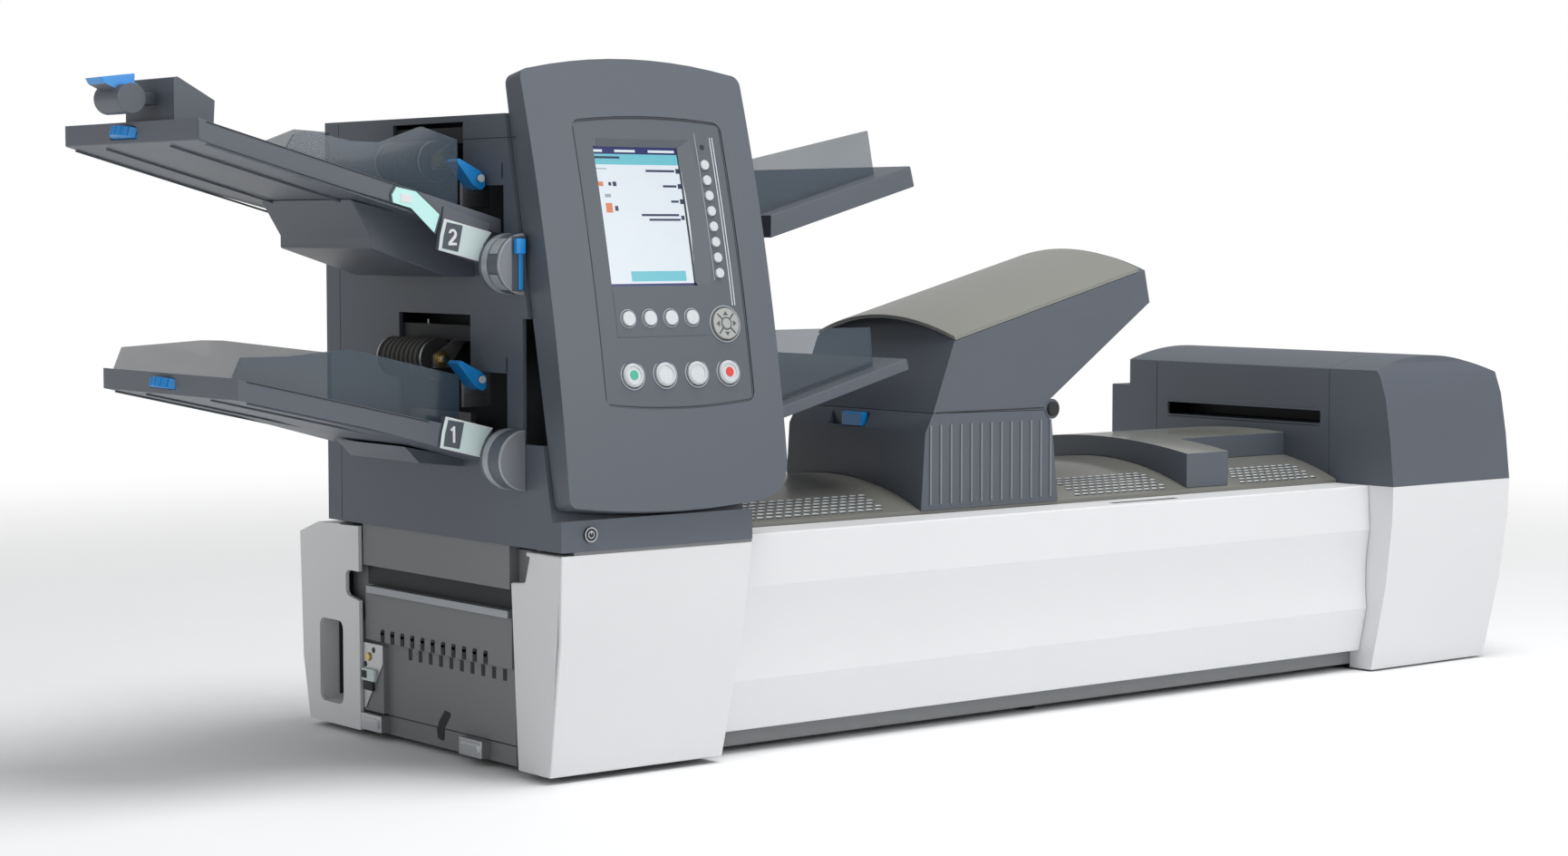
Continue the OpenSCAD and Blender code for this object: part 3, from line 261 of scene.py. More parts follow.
def acrylic(name, colour, clear):
    """Smoked sheet: see-through on its faces, with a little haze that drifts."""
    material, shader, place = finish(name)
    haze = noise(place, 9.0, 3.0)
    join(haze.blend(paint(*colour, 0.9), paint(*colour, 1.1)), shader, "Base Color")
    join(haze * 0.1 + clear, shader, "Alpha")
    join(haze * 0.08 + 0.05, shader, "Roughness")
    shader.inputs["Coat Weight"].default_value = 0.4
    return material


SMOKE = acrylic("smoked_acrylic", (62, 78, 92), 0.46)
print(len(bpy.data.materials), "materials with metal and acrylic")

# %% [markdown]
# ## Softened covers
# A CAD solid has perfectly sharp edges, and no real moulding has: each edge catches a thin line of
# light. Every housing is therefore copied from its solid. The loose triangles are merged, flat faces
# are dissolved to single faces, and a Bevel modifier rounds each sharp edge before it is applied. Weighted
# normals then keep the flat faces flat, so that only the rounded edges catch the light.


# %% Selecting and keeping
def deselect():
    if bpy.context.mode != "OBJECT":
        bpy.ops.object.mode_set(mode="OBJECT")
    bpy.ops.object.select_all(action="DESELECT")


def pick(piece):
    """Makes a piece the only one that operators act on."""
    deselect()
    piece.select_set(True)
    bpy.context.view_layer.objects.active = piece


def keep(piece, name, body, material, replaced=()):
    """Names a finished piece, gives it its finish and lets it ride on its body."""
    piece.name = piece.data.name = name
    if material is not None:
        piece.data.materials.clear()
        piece.data.materials.append(material)
    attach(piece, body)
    if replaced:
        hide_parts(*replaced)
    return piece


def modify(piece, kind, **settings):
    """Adds a modifier and applies it."""
    pick(piece)
    modifier = piece.modifiers.new(kind.lower(), kind)
    for name, value in settings.items():
        setattr(modifier, name, value)
    bpy.ops.object.modifier_apply(modifier=modifier.name)


# %% Copying and softening a solid
def copy_solid(node, flat=True):
    """A merged copy of a CAD solid, with flat faces in one."""
    source = frame["nodes"][node]
    piece = source.copy()
    piece.data = source.data.copy()
    for key in list(piece.keys()):
        del piece[key]
    piece.parent = None
    bpy.context.scene.collection.objects.link(piece)
    pick(piece)
    bpy.ops.mesh.customdata_custom_splitnormals_clear()
    bpy.ops.object.mode_set(mode="EDIT")
    bpy.ops.mesh.select_all(action="SELECT")
    bpy.ops.mesh.remove_doubles(threshold=1e-5)
    if flat:
        bpy.ops.mesh.dissolve_limited(angle_limit=math.radians(0.1))
    bpy.ops.mesh.select_all(action="DESELECT")
    bpy.ops.object.mode_set(mode="OBJECT")
    return piece


def soften(piece, width, segments=2, smooth=34):
    """Rounds each sharp edge by a width in millimetres, and shades flat angles smoothly."""
    if width:
        modify(piece, "BEVEL", width=width * MM, segments=segments, limit_method="ANGLE",
               angle_limit=math.radians(32), use_clamp_overlap=True, miter_outer="MITER_ARC")
    pick(piece)
    bpy.ops.object.shade_smooth_by_angle(angle=math.radians(smooth))
    if width:
        modify(piece, "WEIGHTED_NORMAL", keep_sharp=True)
    return piece


NODE_BODY = {n: b for b, ns in frame["record"]["behaviour"]["bodies"].items() for n in ns}


def cover(node, width, material, smooth=34):
    """A softened copy of a solid, which stands for it."""
    piece = soften(copy_solid(node), width, smooth=smooth)
    return keep(piece, node + "_soft", NODE_BODY[node], material, [node])


def two_tone(node, second, chosen):
    """Gives the chosen faces of a cover a second finish."""
    piece = bpy.data.objects[node + "_soft"]
    piece.data.materials.append(second)
    for polygon in piece.data.polygons:
        polygon.material_index = int(chosen(polygon))


# %% Softened housings
HOUSINGS = [
    ("tower_shell", 1.4, "slate_plastic", TOWER_SLATE),
    ("panel_door", 2.4, "slate_plastic", SLATE),
    ("hopper_base", 1.2, "slate_plastic", SLATE),
    ("hopper_head", 1.2, "slate_plastic", SLATE),
    ("hopper_cover", 1.2, "taupe_plastic", TAUPE),
    ("deck_cover", 1.0, "slate_plastic", DECK),
    ("mid_cover", 1.5, "slate_plastic", SLATE),
    ("exit_housing", 1.5, "slate_plastic", SLATE),
    ("exit_cover", 2.0, "slate_plastic", SLATE),
    ("base_frame", 0.6, "chassis_paint", CHASSIS),
    ("feed_frame", 0.5, "plain_steel", STEEL),
    ("tray_a", 1.5, "slate_plastic", SLATE),
    ("tray_b", 1.5, "slate_plastic", SLATE),
    ("tray_c", 1.5, "slate_plastic", SLATE),
    ("tray_d", 1.5, "slate_plastic", SLATE),
    ("back_stop", 1.2, "blue_plastic", BLUE),
    ("guide_wheel_a", 0.8, "blue_plastic", BLUE),
    ("guide_wheel_c", 0.8, "blue_plastic", BLUE),
    ("feed_lever_a", 0.8, "blue_plastic", BLUE),
    ("feed_lever_c", 0.8, "blue_plastic", BLUE),
    ("hopper_latch", 0.8, "blue_plastic", BLUE),
    ("feed_roller_a", 0.6, "black_rubber", RUBBER),
    ("feed_roller_c", 0.6, "black_rubber", RUBBER),
    ("fold_roller_upper", 0.6, "black_rubber", RUBBER),
    ("fold_roller_lower", 0.6, "black_rubber", RUBBER),
    ("feet", 1.0, "black_rubber", RUBBER),
    ("power_key", 0.6, "pearl_key", DARK),
]
for node, width, slot, material in HOUSINGS:
    cover(node, width, material)
# The frame's faces inside the feeder, past the tower's left face, get the dark finish: painted shade.
two_tone("feed_frame", DARK, lambda polygon: polygon.center.x > at(2.8, 0, 0).x)
print(len(HOUSINGS), "softened housings")

# %% [markdown]
# The white covers of the base have broad, soft turns. On the long panels the crease at the waist is a wide
# hollow, so its edge is selected by its height and bevelled in many steps before the sharp edges are.

# %% White covers
WHITES = ("feeder_front_cover", "feeder_rear_cover", "exit_base_cover")
for node in WHITES:
    cover(node, 1.5, WHITE, smooth=8)
WAIST_SHARE, WAIST_HOLLOW = 0.54, 28.0
waist = at(0, 0, BASE_TOP * WAIST_SHARE).z
for node in ("front_panel", "rear_panel"):
    panel = copy_solid(node)
    for vertex in panel.data.vertices:
        vertex.select = abs(vertex.co.z - waist) < 0.4 * MM
    pick(panel)
    bpy.ops.object.mode_set(mode="EDIT")
    bpy.ops.mesh.select_mode(type="VERT")
    bpy.ops.mesh.bevel(offset=WAIST_HOLLOW * MM, segments=8, affect="EDGES")
    deselect()
    keep(soften(panel, 1.5, smooth=8), node + "_soft", NODE_BODY[node], WHITE, [node])
print("waist at", round(waist, 4), "m")

# %% Guides, keys and end plates
for tray in "abcd":
    for side in ("front", "rear"):
        cover(f"guide_{side}_{tray}", 0.5, SMOKE)
for node in sorted(frame["nodes"]):
    if "_key_" in node or node in ("nav_key", "start_key", "trial_key", "deck_key", "stop_key"):
        cover(node, 1.6 if "_key_" in node else 1.2, SILVER if node == "nav_key" else PEARL)
plates = soften(copy_solid("docking_plates", flat=False), 0.4)
keep(plates, "docking_plates_soft", "machine", CHASSIS, ["docking_plates"])
print("guides, keys and end plates softened")

# %% [markdown]
# ## Small parts
# The details are drawn in millimetres, flat on the ruler or on a leaning frame. Each one starts as a
# primitive, is stretched or extruded in edit mode and gets rounded edges. Then it is settled: its place
# goes into its mesh, so that the finished piece itself lies at the origin.


# %% Frames on faces
RULER = Matrix.Translation(at(0, 0, 0))


def facing_front(y):
    """A frame on a face that looks to the front: x to the right, y up."""
    return Matrix.Translation(at(0, y, 0)) @ Matrix.Rotation(math.radians(90), 4, "X")


def facing_left(x):
    """A frame on a face that looks to the left: x to the front, y up."""
    turn = Matrix(((0, 0, -1, 0), (-1, 0, 0, 0), (0, 1, 0, 0), (0, 0, 0, 1)))
    return Matrix.Translation(at(x, 0, 0)) @ turn


# %% Shapes
def start(kind, **settings):
    deselect()
    getattr(bpy.ops.mesh, f"primitive_{kind}_add")(**settings)
    piece = bpy.context.object
    bpy.ops.object.mode_set(mode="EDIT")
    bpy.ops.mesh.select_all(action="SELECT")
    return piece


def block(x0, x1, y0, y1, z0, z1):
    piece = start("cube", size=1)
    bpy.ops.transform.resize(value=(x1 - x0, y1 - y0, z1 - z0))
    bpy.ops.transform.translate(value=((x0 + x1) / 2, (y0 + y1) / 2, (z0 + z1) / 2))
    deselect()
    return piece


def disc(x, y, z0, z1, radius, sides=32):
    piece = start("cylinder", vertices=sides, radius=radius, depth=z1 - z0)
    bpy.ops.transform.translate(value=(x, y, (z0 + z1) / 2))
    deselect()
    return piece


def ring(x, y, z, radius, thick, flat=0.5):
    """A flattened ring that lies on a face."""
    piece = start("torus", major_radius=radius, minor_radius=thick, major_segments=40, minor_segments=8)
    bpy.ops.transform.resize(value=(1, 1, flat))
    bpy.ops.transform.translate(value=(x, y, z))
    deselect()
    return piece


def drawn(points, z0, z1):
    """An outline in x and y, drawn out along z."""
    piece = start("circle", vertices=len(points), radius=1, fill_type="NGON")
    deselect()
    for vertex, (x, y) in zip(piece.data.vertices, points):
        vertex.co = (x, y, z0)
    pick(piece)
    bpy.ops.object.mode_set(mode="EDIT")
    bpy.ops.mesh.select_all(action="SELECT")
    bpy.ops.mesh.extrude_region_move(TRANSFORM_OT_translate={"value": (0, 0, z1 - z0)})
    bpy.ops.mesh.select_all(action="SELECT")
    bpy.ops.mesh.normals_make_consistent(inside=False)
    deselect()
    return piece


# %% Joining, placing and cutting
def as_one(pieces):
    deselect()
    for piece in pieces:
        piece.select_set(True)
    bpy.context.view_layer.objects.active = pieces[0]
    if len(pieces) > 1:
        bpy.ops.object.join()
    return pieces[0]


def settle(piece, place):
    """Puts a piece that is drawn in millimetres into its frame."""
    piece.matrix_world = place @ Matrix.Scale(MM, 4)
    pick(piece)
    bpy.ops.object.transform_apply(location=True, rotation=True, scale=True)
    return piece


def detail(pieces, place, name, body, slot, material, edge=0.3):
    """Joins, settles and softens small parts, and keeps them as one piece."""
    return keep(soften(settle(as_one(pieces), place), edge), name, body, material)


def copy_of(shape, place):
    """A copy of a small part with a mesh of its own, moved to its place."""
    piece = shape.copy()
    piece.data = shape.data.copy()
    bpy.context.scene.collection.objects.link(piece)
    piece.matrix_world = place
    pick(piece)
    bpy.ops.object.transform_apply(location=True, rotation=True, scale=True)
    return piece


def carve(piece, cutters, place):
    """Cuts small parts out of a cover."""
    tool = settle(as_one(cutters), place)
    modify(piece, "BOOLEAN", operation="DIFFERENCE", object=tool, solver="EXACT")
    bpy.data.objects.remove(tool)


# %% [markdown]
# ## Control panel
# The screen sits behind a sloped bezel. It could be built up from four strips, but one tapered block,
# tilted like the bowed face, cuts it out of the key plate with clean corners.

# %% Bezel
BEZEL_SIZE, BEZEL_MIDDLE = (88.7, 121.5, 8), Vector((116.35, 252.75, 8.6))
BEZEL_FLARE, BEZEL_SHIFT = (1.503, 1.259, 1), (22.3, 8.75, 0)
FACE_LEAN = -1.65
fascia = copy_solid("panel_fascia", flat=False)
bezel = start("cube", size=1)
bpy.ops.transform.resize(value=BEZEL_SIZE)
bpy.ops.mesh.select_all(action="DESELECT")
deselect()
for vertex in bezel.data.vertices:
    vertex.select = vertex.co.z > 0
pick(bezel)
bpy.ops.object.mode_set(mode="EDIT")
bpy.ops.transform.resize(value=BEZEL_FLARE)
bpy.ops.transform.translate(value=BEZEL_SHIFT)
deselect()
lean = Matrix.Rotation(math.radians(FACE_LEAN), 4, "X")
carve(fascia, [bezel], PANEL @ Matrix.Translation(BEZEL_MIDDLE * MM) @ lean)
keep(soften(fascia, 0, smooth=6), "panel_fascia_soft", "panel", FASCIA, ["panel_fascia"])
print("bezel cut into", fascia.name)

# %% [markdown]
# The lit picture is drawn by the material itself. Object coordinates are turned into millimetres across
# and along the panel, and each block of colour is a window between four limits. Small plates could do the
# same, but painted blocks stay in one flat glass. They are plain: a header, icons and bars, and a footer.


# %% Screen
def window(across, along, x0, x1, s0, s1):
    """One inside a rectangle of the panel, nought outside it."""
    inside = across.maths("GREATER_THAN", across, x0) * across.maths("LESS_THAN", across, x1)
    return inside * along.maths("GREATER_THAN", along, s0) * along.maths("LESS_THAN", along, s1)


SCREEN_RISE = 1.0


def screen_finish():
    material, shader, place = finish("lit_screen")
    across = place.node("ShaderNodeSeparateXYZ", {}, {0: place}, out=0) * (1 / MM) + RULER_ZERO.x
    height = place.node("ShaderNodeSeparateXYZ", {}, {0: place}, out=2) * (1 / MM)
    along = (height - (PANEL_FOOT - RULER_ZERO.z + SCREEN_RISE)) * (1 / math.cos(math.radians(PANEL_TILT)))
    colour = noise(place, 40.0).blend(paint(222, 232, 242), paint(230, 238, 246))
    navy, cyan, dark, orange = paint(24, 36, 104), paint(104, 196, 212), paint(30, 44, 84), paint(222, 128, 74)
    grey = paint(160, 168, 182)
    blocks = [(60, 170, 306.7, 320, navy), (60, 170, 297.3, 306.7, cyan), (60, 170, 180, 191.4, navy),
              (93, 152, 193.4, 202.4, cyan), (68, 80, 308.4, 310.6, colour), (93, 115, 308.4, 310.6, colour),
              (129, 157.5, 308.4, 310.6, colour), (69, 97.5, 302.6, 304.6, dark), (70.5, 82, 293, 294, grey),
              (69.5, 76, 278, 282, orange), (81.5, 84.5, 278.4, 281.6, dark), (86, 90, 278, 282, dark),
              (75.5, 82.5, 254.4, 263, orange), (85, 88.5, 256, 260.4, dark), (76, 82.5, 268, 271, grey),
              (112.5, 153, 251.4, 253.4, dark), (120, 154, 247.2, 249.2, dark), (155, 158.6, 248, 252, dark)]
    for row, left in enumerate((123.4, 139.8, 146.4)):
        s = 291 - 13.7 * row
        blocks += [(left, 154.6, s, s + 2, dark), (156, 159.8, s - 1.2, s + 3.2, dark)]
    for x0, x1, s0, s1, shade in blocks:
        colour = window(across, along, x0, x1, s0, s1).blend(colour, shade)
    join(colour, shader, "Emission Color")
    join(colour * 0.03, shader, "Base Color")
    shader.inputs["Emission Strength"].default_value = 0.9
    shader.inputs["Roughness"].default_value = 0.18
    return material


screen = soften(copy_solid("display_screen", flat=False), 0)
keep(screen, "display_screen_soft", NODE_BODY["display_screen"], screen_finish(), ["display_screen"])
print("screen drawn on", screen.name)

# %% [markdown]
# Raised marks finish the keys: light rings around the round keys, arrows on the round pad, a green and a red
# centre for start and stop. A material could paint them, but small shapes keep their edges from close by. A
# mark on a key rides on that key, so that it travels with it, and the rings stay on the panel.

# %% Key marks
KEY_TOP = 1.25
SMALL_KEYS_S, LARGE_KEYS_S = 160, 110.5
NAV_X, NAV_S = 186, 153.6
large_keys_x = [80.5 + 34.5 * i for i in range(4)]
rings = [ring(81.8 + 22.8 * i, SMALL_KEYS_S, bow(SMALL_KEYS_S) - 0.9, 7.9, 0.5) for i in range(4)]
rings += [ring(x, LARGE_KEYS_S, bow(LARGE_KEYS_S) - 0.9, 12.4, 0.6) for x in large_keys_x]
rings += [ring(NAV_X, NAV_S, bow(NAV_S) - 0.9, 16.2, 0.6)]
detail(rings, PANEL, "key_rings", "panel", "taupe_plastic", RIM, edge=0)
large_keys = (("start_key", GREEN), ("trial_key", None), ("deck_key", None), ("stop_key", RED))
top = bow(LARGE_KEYS_S) + KEY_TOP
for x, (key, material) in zip(large_keys_x, large_keys):
    rim = ring(x, LARGE_KEYS_S, top - 0.4, 8.3, 1.5, flat=0.8)
    detail([rim], PANEL, key + "_rim", key, "pearl_key", PEARL, edge=0)
    if material:
        centre = disc(x, LARGE_KEYS_S, top - 0.4, top + 0.25, 4.4)
        detail([centre], PANEL, key + "_mark", key, "pearl_key", material, edge=0.3)
print(len(rings), "rings around keys")

# %% Round pad
marks = []
top = bow(NAV_S) + KEY_TOP
for turn in range(4):
    c, d = round(math.cos(turn * math.pi / 2)), round(math.sin(turn * math.pi / 2))
    tip, left, right = (11, 0), (7.4, 2.6), (7.4, -2.6)
    slit = [(4.6, 3.6), (9.4, 8.4), (8.4, 9.4), (3.6, 4.6)]
    for shape in ((tip, left, right), slit):
        points = [(NAV_X + c * u - d * v, NAV_S + d * u + c * v) for u, v in shape]
        marks.append(drawn(points, top - 0.3, top + 0.12))
marks.append(ring(NAV_X, NAV_S, top, 5.4, 0.5))
detail(marks, PANEL, "nav_marks", "nav_key", "taupe_plastic", INK, edge=0)
detail([disc(NAV_X, NAV_S, top - 0.3, top + 0.7, 4.4)], PANEL, "nav_centre", "nav_key", "pearl_key", SILVER, edge=0.5)
print(len(marks), "marks on the round pad")

# %% [markdown]
# A dark strip runs around the key plate as a painted shadow in the gap at its edge, and another line divides it.
# Light strips on the edges of the bezel are painted highlights, and a dark strip by the screen is painted shade. A
# straight strip would sink into the bowed face, so each strip is drawn along the bow in small steps.

# %% Plate lines
ALONG_PANEL = PANEL @ Matrix(((0, 0, 1, 0), (1, 0, 0, 0), (0, 1, 0, 0), (0, 0, 0, 1)))


def on_bow(s0, s1, low, high, x0, x1):
    """A strip along the panel that follows its bowed face."""
    steps = [s0 + (s1 - s0) * i / 12 for i in range(13)]
    return drawn([(s, bow(s) + low) for s in steps] + [(s, bow(s) + high) for s in reversed(steps)], x0, x1)


engraved = [on_bow(143.6, 144.3, -1.3, -0.85, 69, 169), on_bow(144, 185, -1.3, -0.85, 68.6, 69.2)]
detail(engraved, ALONG_PANEL, "plate_line", "panel", "taupe_plastic", INK, edge=0)
# The sides of the dark strip around the key plate: painted shadow in its gap.
sides = [on_bow(90, 331, -1.3, -0.88, x, x + 0.8) for x in (50, 208.2)]
detail(sides, ALONG_PANEL, "plate_gap_shadow_sides", "panel", "taupe_plastic", DARK, edge=0)
# Pale strips on the bezel's edges: painted highlights.
bezel_highlight_lines = [on_bow(193, 327, -1.2, -0.8, 179.8, 180.5), on_bow(191, 314, -4.5, -3.9, 161.4, 162)]
detail(bezel_highlight_lines, ALONG_PANEL, "bezel_highlight_lines", "panel", "taupe_plastic", RIM, edge=0)
# A dark strip along the screen's edge: painted shade.
shade_line = on_bow(188.7, 313.3, -4.6, -4.15, 159.7, 161.3)
detail([shade_line], ALONG_PANEL, "screen_edge_shade", "panel", "taupe_plastic", DARK, edge=0)
# The curved ends of that dark strip: painted shadow in the gap.
arcs = []
for middle, swell, level in ((81, -5, 84), (339.2, 5, 336)):
    steps = [50 + 159 * i / 24 for i in range(25)]
    arc = [(x, middle - swell * ((x - 129.5) / 79.5) ** 2) for x in steps]
    arcs.append(drawn(arc + [(x, s + 0.8) for x, s in reversed(arc)], bow(level) - 1.5, bow(level) - 0.85))
detail(arcs, PANEL, "plate_gap_shadow_ends", "panel", "taupe_plastic", DARK, edge=0)
bars = [on_bow(170, 323, -1.3, -0.6, x, x + 1) for x in (195.8, 198.6)]
detail(bars, ALONG_PANEL, "plate_bars", "panel", "pearl_key", PEARL, edge=0)
print("plate lines made")

# %% Sensor and standby mark
sensor = disc(186.8, 314, bow(314) - 1.5, bow(314) - 0.6, 2.4)
detail([sensor], PANEL, "light_sensor", "panel", "black_rubber", DARK, edge=0.2)
power_x, power_z = 29.5, BASE_TOP + 14.5
standby = [ring(power_x, power_z, 2.3, 2.9, 0.4), block(29.1, 29.9, BASE_TOP + 15, BASE_TOP + 18.2, 2.0, 2.55),
           ring(power_x, power_z, 2.2, 6.0, 0.5)]
detail(standby, facing_front(-215), "standby_mark", "power_key", "pearl_key", PEARL, edge=0)
print("sensor and standby mark made")

# %% [markdown]
# ## Trays
# Each feed tray carries a label plate with a plain numeral, beads along its underside and a ribbed blue
# wheel. The numerals could be text, but as drawn outlines they have few faces. The stop on the upper tray is
# two-coloured: a slate block and grip below a blue cap.

# %% Tray labels
TRAY_SIDE, STRIP_SIDE = -127.5, -126.2


def tray_label(name, low, numeral):
    """The label plate on a tray's front side, with a white rim and a dark square that carries a numeral."""
    corners = [(-65.6, low + 10.6), (-22.4, low), (-20.6, low + 15), (-12, low + 25.6), (-59.6, low + 37.4),
               (-63.6, low + 24)]
    middle = Vector((-41, low + 19))
    inner = [tuple(middle + (Vector(corner) - middle) * 0.93) for corner in corners]
    front = facing_front(TRAY_SIDE)
    detail([drawn(corners, -0.3, 0.35)], front, name + "_rim", "machine", "white_plastic", WHITE, edge=0.2)
    detail([drawn(inner, 0.1, 0.6)], front, name + "_plate", "machine", "pearl_key", LABEL, edge=0.15)
    square = [(-62.4, low + 12.2), (-46.4, low + 8.8), (-41.5, low + 31.4), (-57.4, low + 34.4), (-60.6, low + 23)]
    detail([drawn(square, 0.4, 0.9)], front, name + "_square", "machine", "black_rubber", INK, edge=0.2)
    marks = [drawn([(-52 + u, low + 21.6 + v) for u, v in stroke], 0.8, 1.1) for stroke in numeral]
    detail(marks, front, name + "_mark", "machine", "white_plastic", WHITE, edge=0)


ONE = [[(-1.2, -7), (1.2, -7), (1.2, 7), (-0.6, 7), (-3.6, 4.4), (-2.4, 2.8), (-1.2, 3.8)]]
TWO = [[(-4.2, -7), (4.2, -7), (4.2, -4.8), (-0.8, -4.8), (3.4, -0.6), (4.2, 1.6), (4.2, 4), (2.4, 6.4), (0, 7),
        (-2.6, 6.3), (-4, 3.4), (-1.8, 3.2), (-0.8, 4.7), (0.8, 4.8), (1.8, 3.6), (1.6, 1.6), (-4.2, -4.6)]]
tray_label("label_lower", 273.4, ONE)
tray_label("label_upper", 442.6, TWO)
strip = [(-106, 506.5), (-110.3, 500), (-109.3, 493.4), (-91.6, 488.7), (-69, 468), (-63.8, 483.5), (-86.8, 502.8)]
side = facing_front(STRIP_SIDE)
detail([drawn(strip, -0.4, 0.4)], side, "strip_plate", "machine", "pearl_key", CYAN, edge=0.2)
middle = Vector((-88, 489))
frame_line = [tuple(middle + (Vector(point) - middle) * 1.07) for point in strip]
detail([drawn(frame_line, -0.5, 0.1)], side, "strip_rim", "machine", "black_rubber", INK, edge=0)
window_piece = drawn([(-102, 494), (-91, 493), (-91, 500), (-102, 501.2)], 0.2, 0.7)
detail([window_piece], side, "strip_window", "machine", "white_plastic", WHITE, edge=0.2)
print("tray labels made")

# %% Tray trim
TEETH = 24
WHEEL_CENTRE = (0.024, 0.01, -0.0086)
for tray, place, length in (("a", TRAY_A, 220), ("c", TRAY_C, 235)):
    beads = [block(14, length, y, y + 2.4, -19.2, -17.6) for y in (-123, -60, 60, 120.6)]
    detail(beads, place, f"tray_{tray}_beads", "machine", "slate_plastic", SLATE, edge=0.4)
    lines = [block(8, length - 34, -125.3, -124.7, -1.6, -0.6)]
    detail(lines, place, f"tray_{tray}_edge_line", "machine", "black_rubber", DARK, edge=0)
    stripes = [block(40 + 14 * i, 43 + 14 * i, -56, 56, -0.2, 0.5) for i in range(10)]
    detail(stripes, place, f"tray_{tray}_ribs", "machine", "slate_plastic", SLATE, edge=0.2)
    tooth = drawn([(29.6, -1.6), (31, -1), (31, 1), (29.6, 1.6)], -3.6, 3.6)
    teeth = [copy_of(tooth, Matrix.Rotation(math.radians(360 / TEETH * i), 4, "Z")) for i in range(TEETH)]
    bpy.data.objects.remove(tooth)
    wheel = place @ Matrix.Translation(WHEEL_CENTRE)
    detail(teeth, wheel, f"wheel_{tray}_teeth", f"guide_wheel_{tray}", "blue_plastic", BLUE, edge=0)
cap_edge, cap_low = at(TRAY_C_X, 0, 0).x, at(0, 0, TRAY_C_Z + 30.5).z
two_tone("back_stop", SLATE, lambda polygon: polygon.center.x > cap_edge or polygon.center.z < cap_low)
cap = block(-309, -287, -17, 17, 579, 580.4)
detail([cap], RULER, "stop_cap", "back_stop", "blue_plastic", BLUE, edge=0.6)
print("tray trim made")

# %% [markdown]
# ## Feeders
# Through the windows one sees the shaded paper path, grey arms and a roller with light collars. A dark sheet behind
# the wall paints that shade, and the collars and pins are turned parts. The grips of a roller could be a
# bump in its rubber, but real bands also show on its outline.

# %% Feeder details
# A dark sheet behind the windows: painted shade.
shade_sheet = block(34, 37, -150, 120, BASE_TOP + 60, BASE_TOP + 371)
detail([shade_sheet], RULER, "feeder_shade_sheet", "machine", "black_rubber", DARK, edge=0.5)
ROLLER_X = -12
ACROSS = RULER @ Matrix.Rotation(math.radians(-90), 4, "X")
for tray, z in (("a", BASE_TOP + 160), ("c", BASE_TOP + 335)):
    collars = [disc(ROLLER_X, -z, y, y + 3, 18.4) for y in (-38.5, 35.5)]
    detail(collars, ACROSS, f"roller_{tray}_collars", f"feed_roller_{tray}", "plain_steel", STEEL, edge=0.8)
    hubs = [disc(ROLLER_X, -z, y, y + 2.2, 7.4) for y in (-46.5, 44.3)]
    detail(hubs, ACROSS, f"roller_{tray}_hubs", f"feed_roller_{tray}", "plain_steel", BRASS, edge=0.6)
    grips = [disc(ROLLER_X, -z, -31 + 7.8 * i, -26 + 7.8 * i, 18.5, sides=40) for i in range(8)]
    detail(grips, ACROSS, f"roller_{tray}_grips", f"feed_roller_{tray}", "black_rubber", GREY_RUBBER, edge=0.4)
    pin = disc(-8, -(z - 16), -106, -103.9, 3.4)
    detail([pin], ACROSS, f"lever_{tray}_pin", f"feed_lever_{tray}", "pearl_key", PEARL, edge=0.5)
    screws = [disc(ROLLER_X, -z, -50.5, -46.2, 3.6), disc(ROLLER_X, -z, 46.2, 50.5, 3.6)]
    detail(screws, ACROSS, f"roller_{tray}_ends", f"feed_roller_{tray}", "plain_steel", CHROME, edge=0.4)
plates_left = facing_left(0)
for tray, u0, u1, low in (("a", -44, 60, BASE_TOP + 100), ("c", -50, 56, BASE_TOP + 278)):
    lip = drawn([(u0, low), (u1, low), (u1, low + 12), (u0, low + 12)], -14, -8)
    detail([lip], plates_left, f"paper_lip_{tray}", "machine", "plain_steel", STEEL, edge=0.3)
# Two dark plates on the wall paint the shade inside its slits.
slits = [block(131, 133, 347, 360, -0.5, 0.15), block(125.5, 127.5, 515, 528, -0.5, 0.15)]
detail(slits, plates_left, "wall_slit_shade", "machine", "black_rubber", DARK, edge=0)
seams = [block(-155.5, -154.7, BASE_TOP + 1, BASE_TOP + 373, -0.4, 0.1), block(63, 148, 549.6, 550.4, -0.4, 0.1)]
detail(seams, plates_left, "tower_seams", "machine", "black_rubber", DARK, edge=0)
detail([block(5, 6.2, 5.2, 6.8, 377, 390)], RULER, "feeder_marker", "machine", "pearl_key", PEARL, edge=0.3)
print("feeder details made")

# %% [markdown]
# Beside each window a half drum stands out from the wall's front edge. Its rims and its face could be drawn
# as outlines, but a disc that a plane slices at the wall is rounder. The upper drum has a pocket, painted as a
# flat dark plate of shade, with a blue handle and two pads.


# %% Drums
def slice_of(piece, point, normal):
    """Keeps the part of a piece that lies behind a plane."""
    pick(piece)
    bpy.ops.object.mode_set(mode="EDIT")
    bpy.ops.mesh.select_all(action="SELECT")
    bpy.ops.mesh.bisect(plane_co=point, plane_no=normal, use_fill=True, clear_outer=True)
    deselect()
    return piece


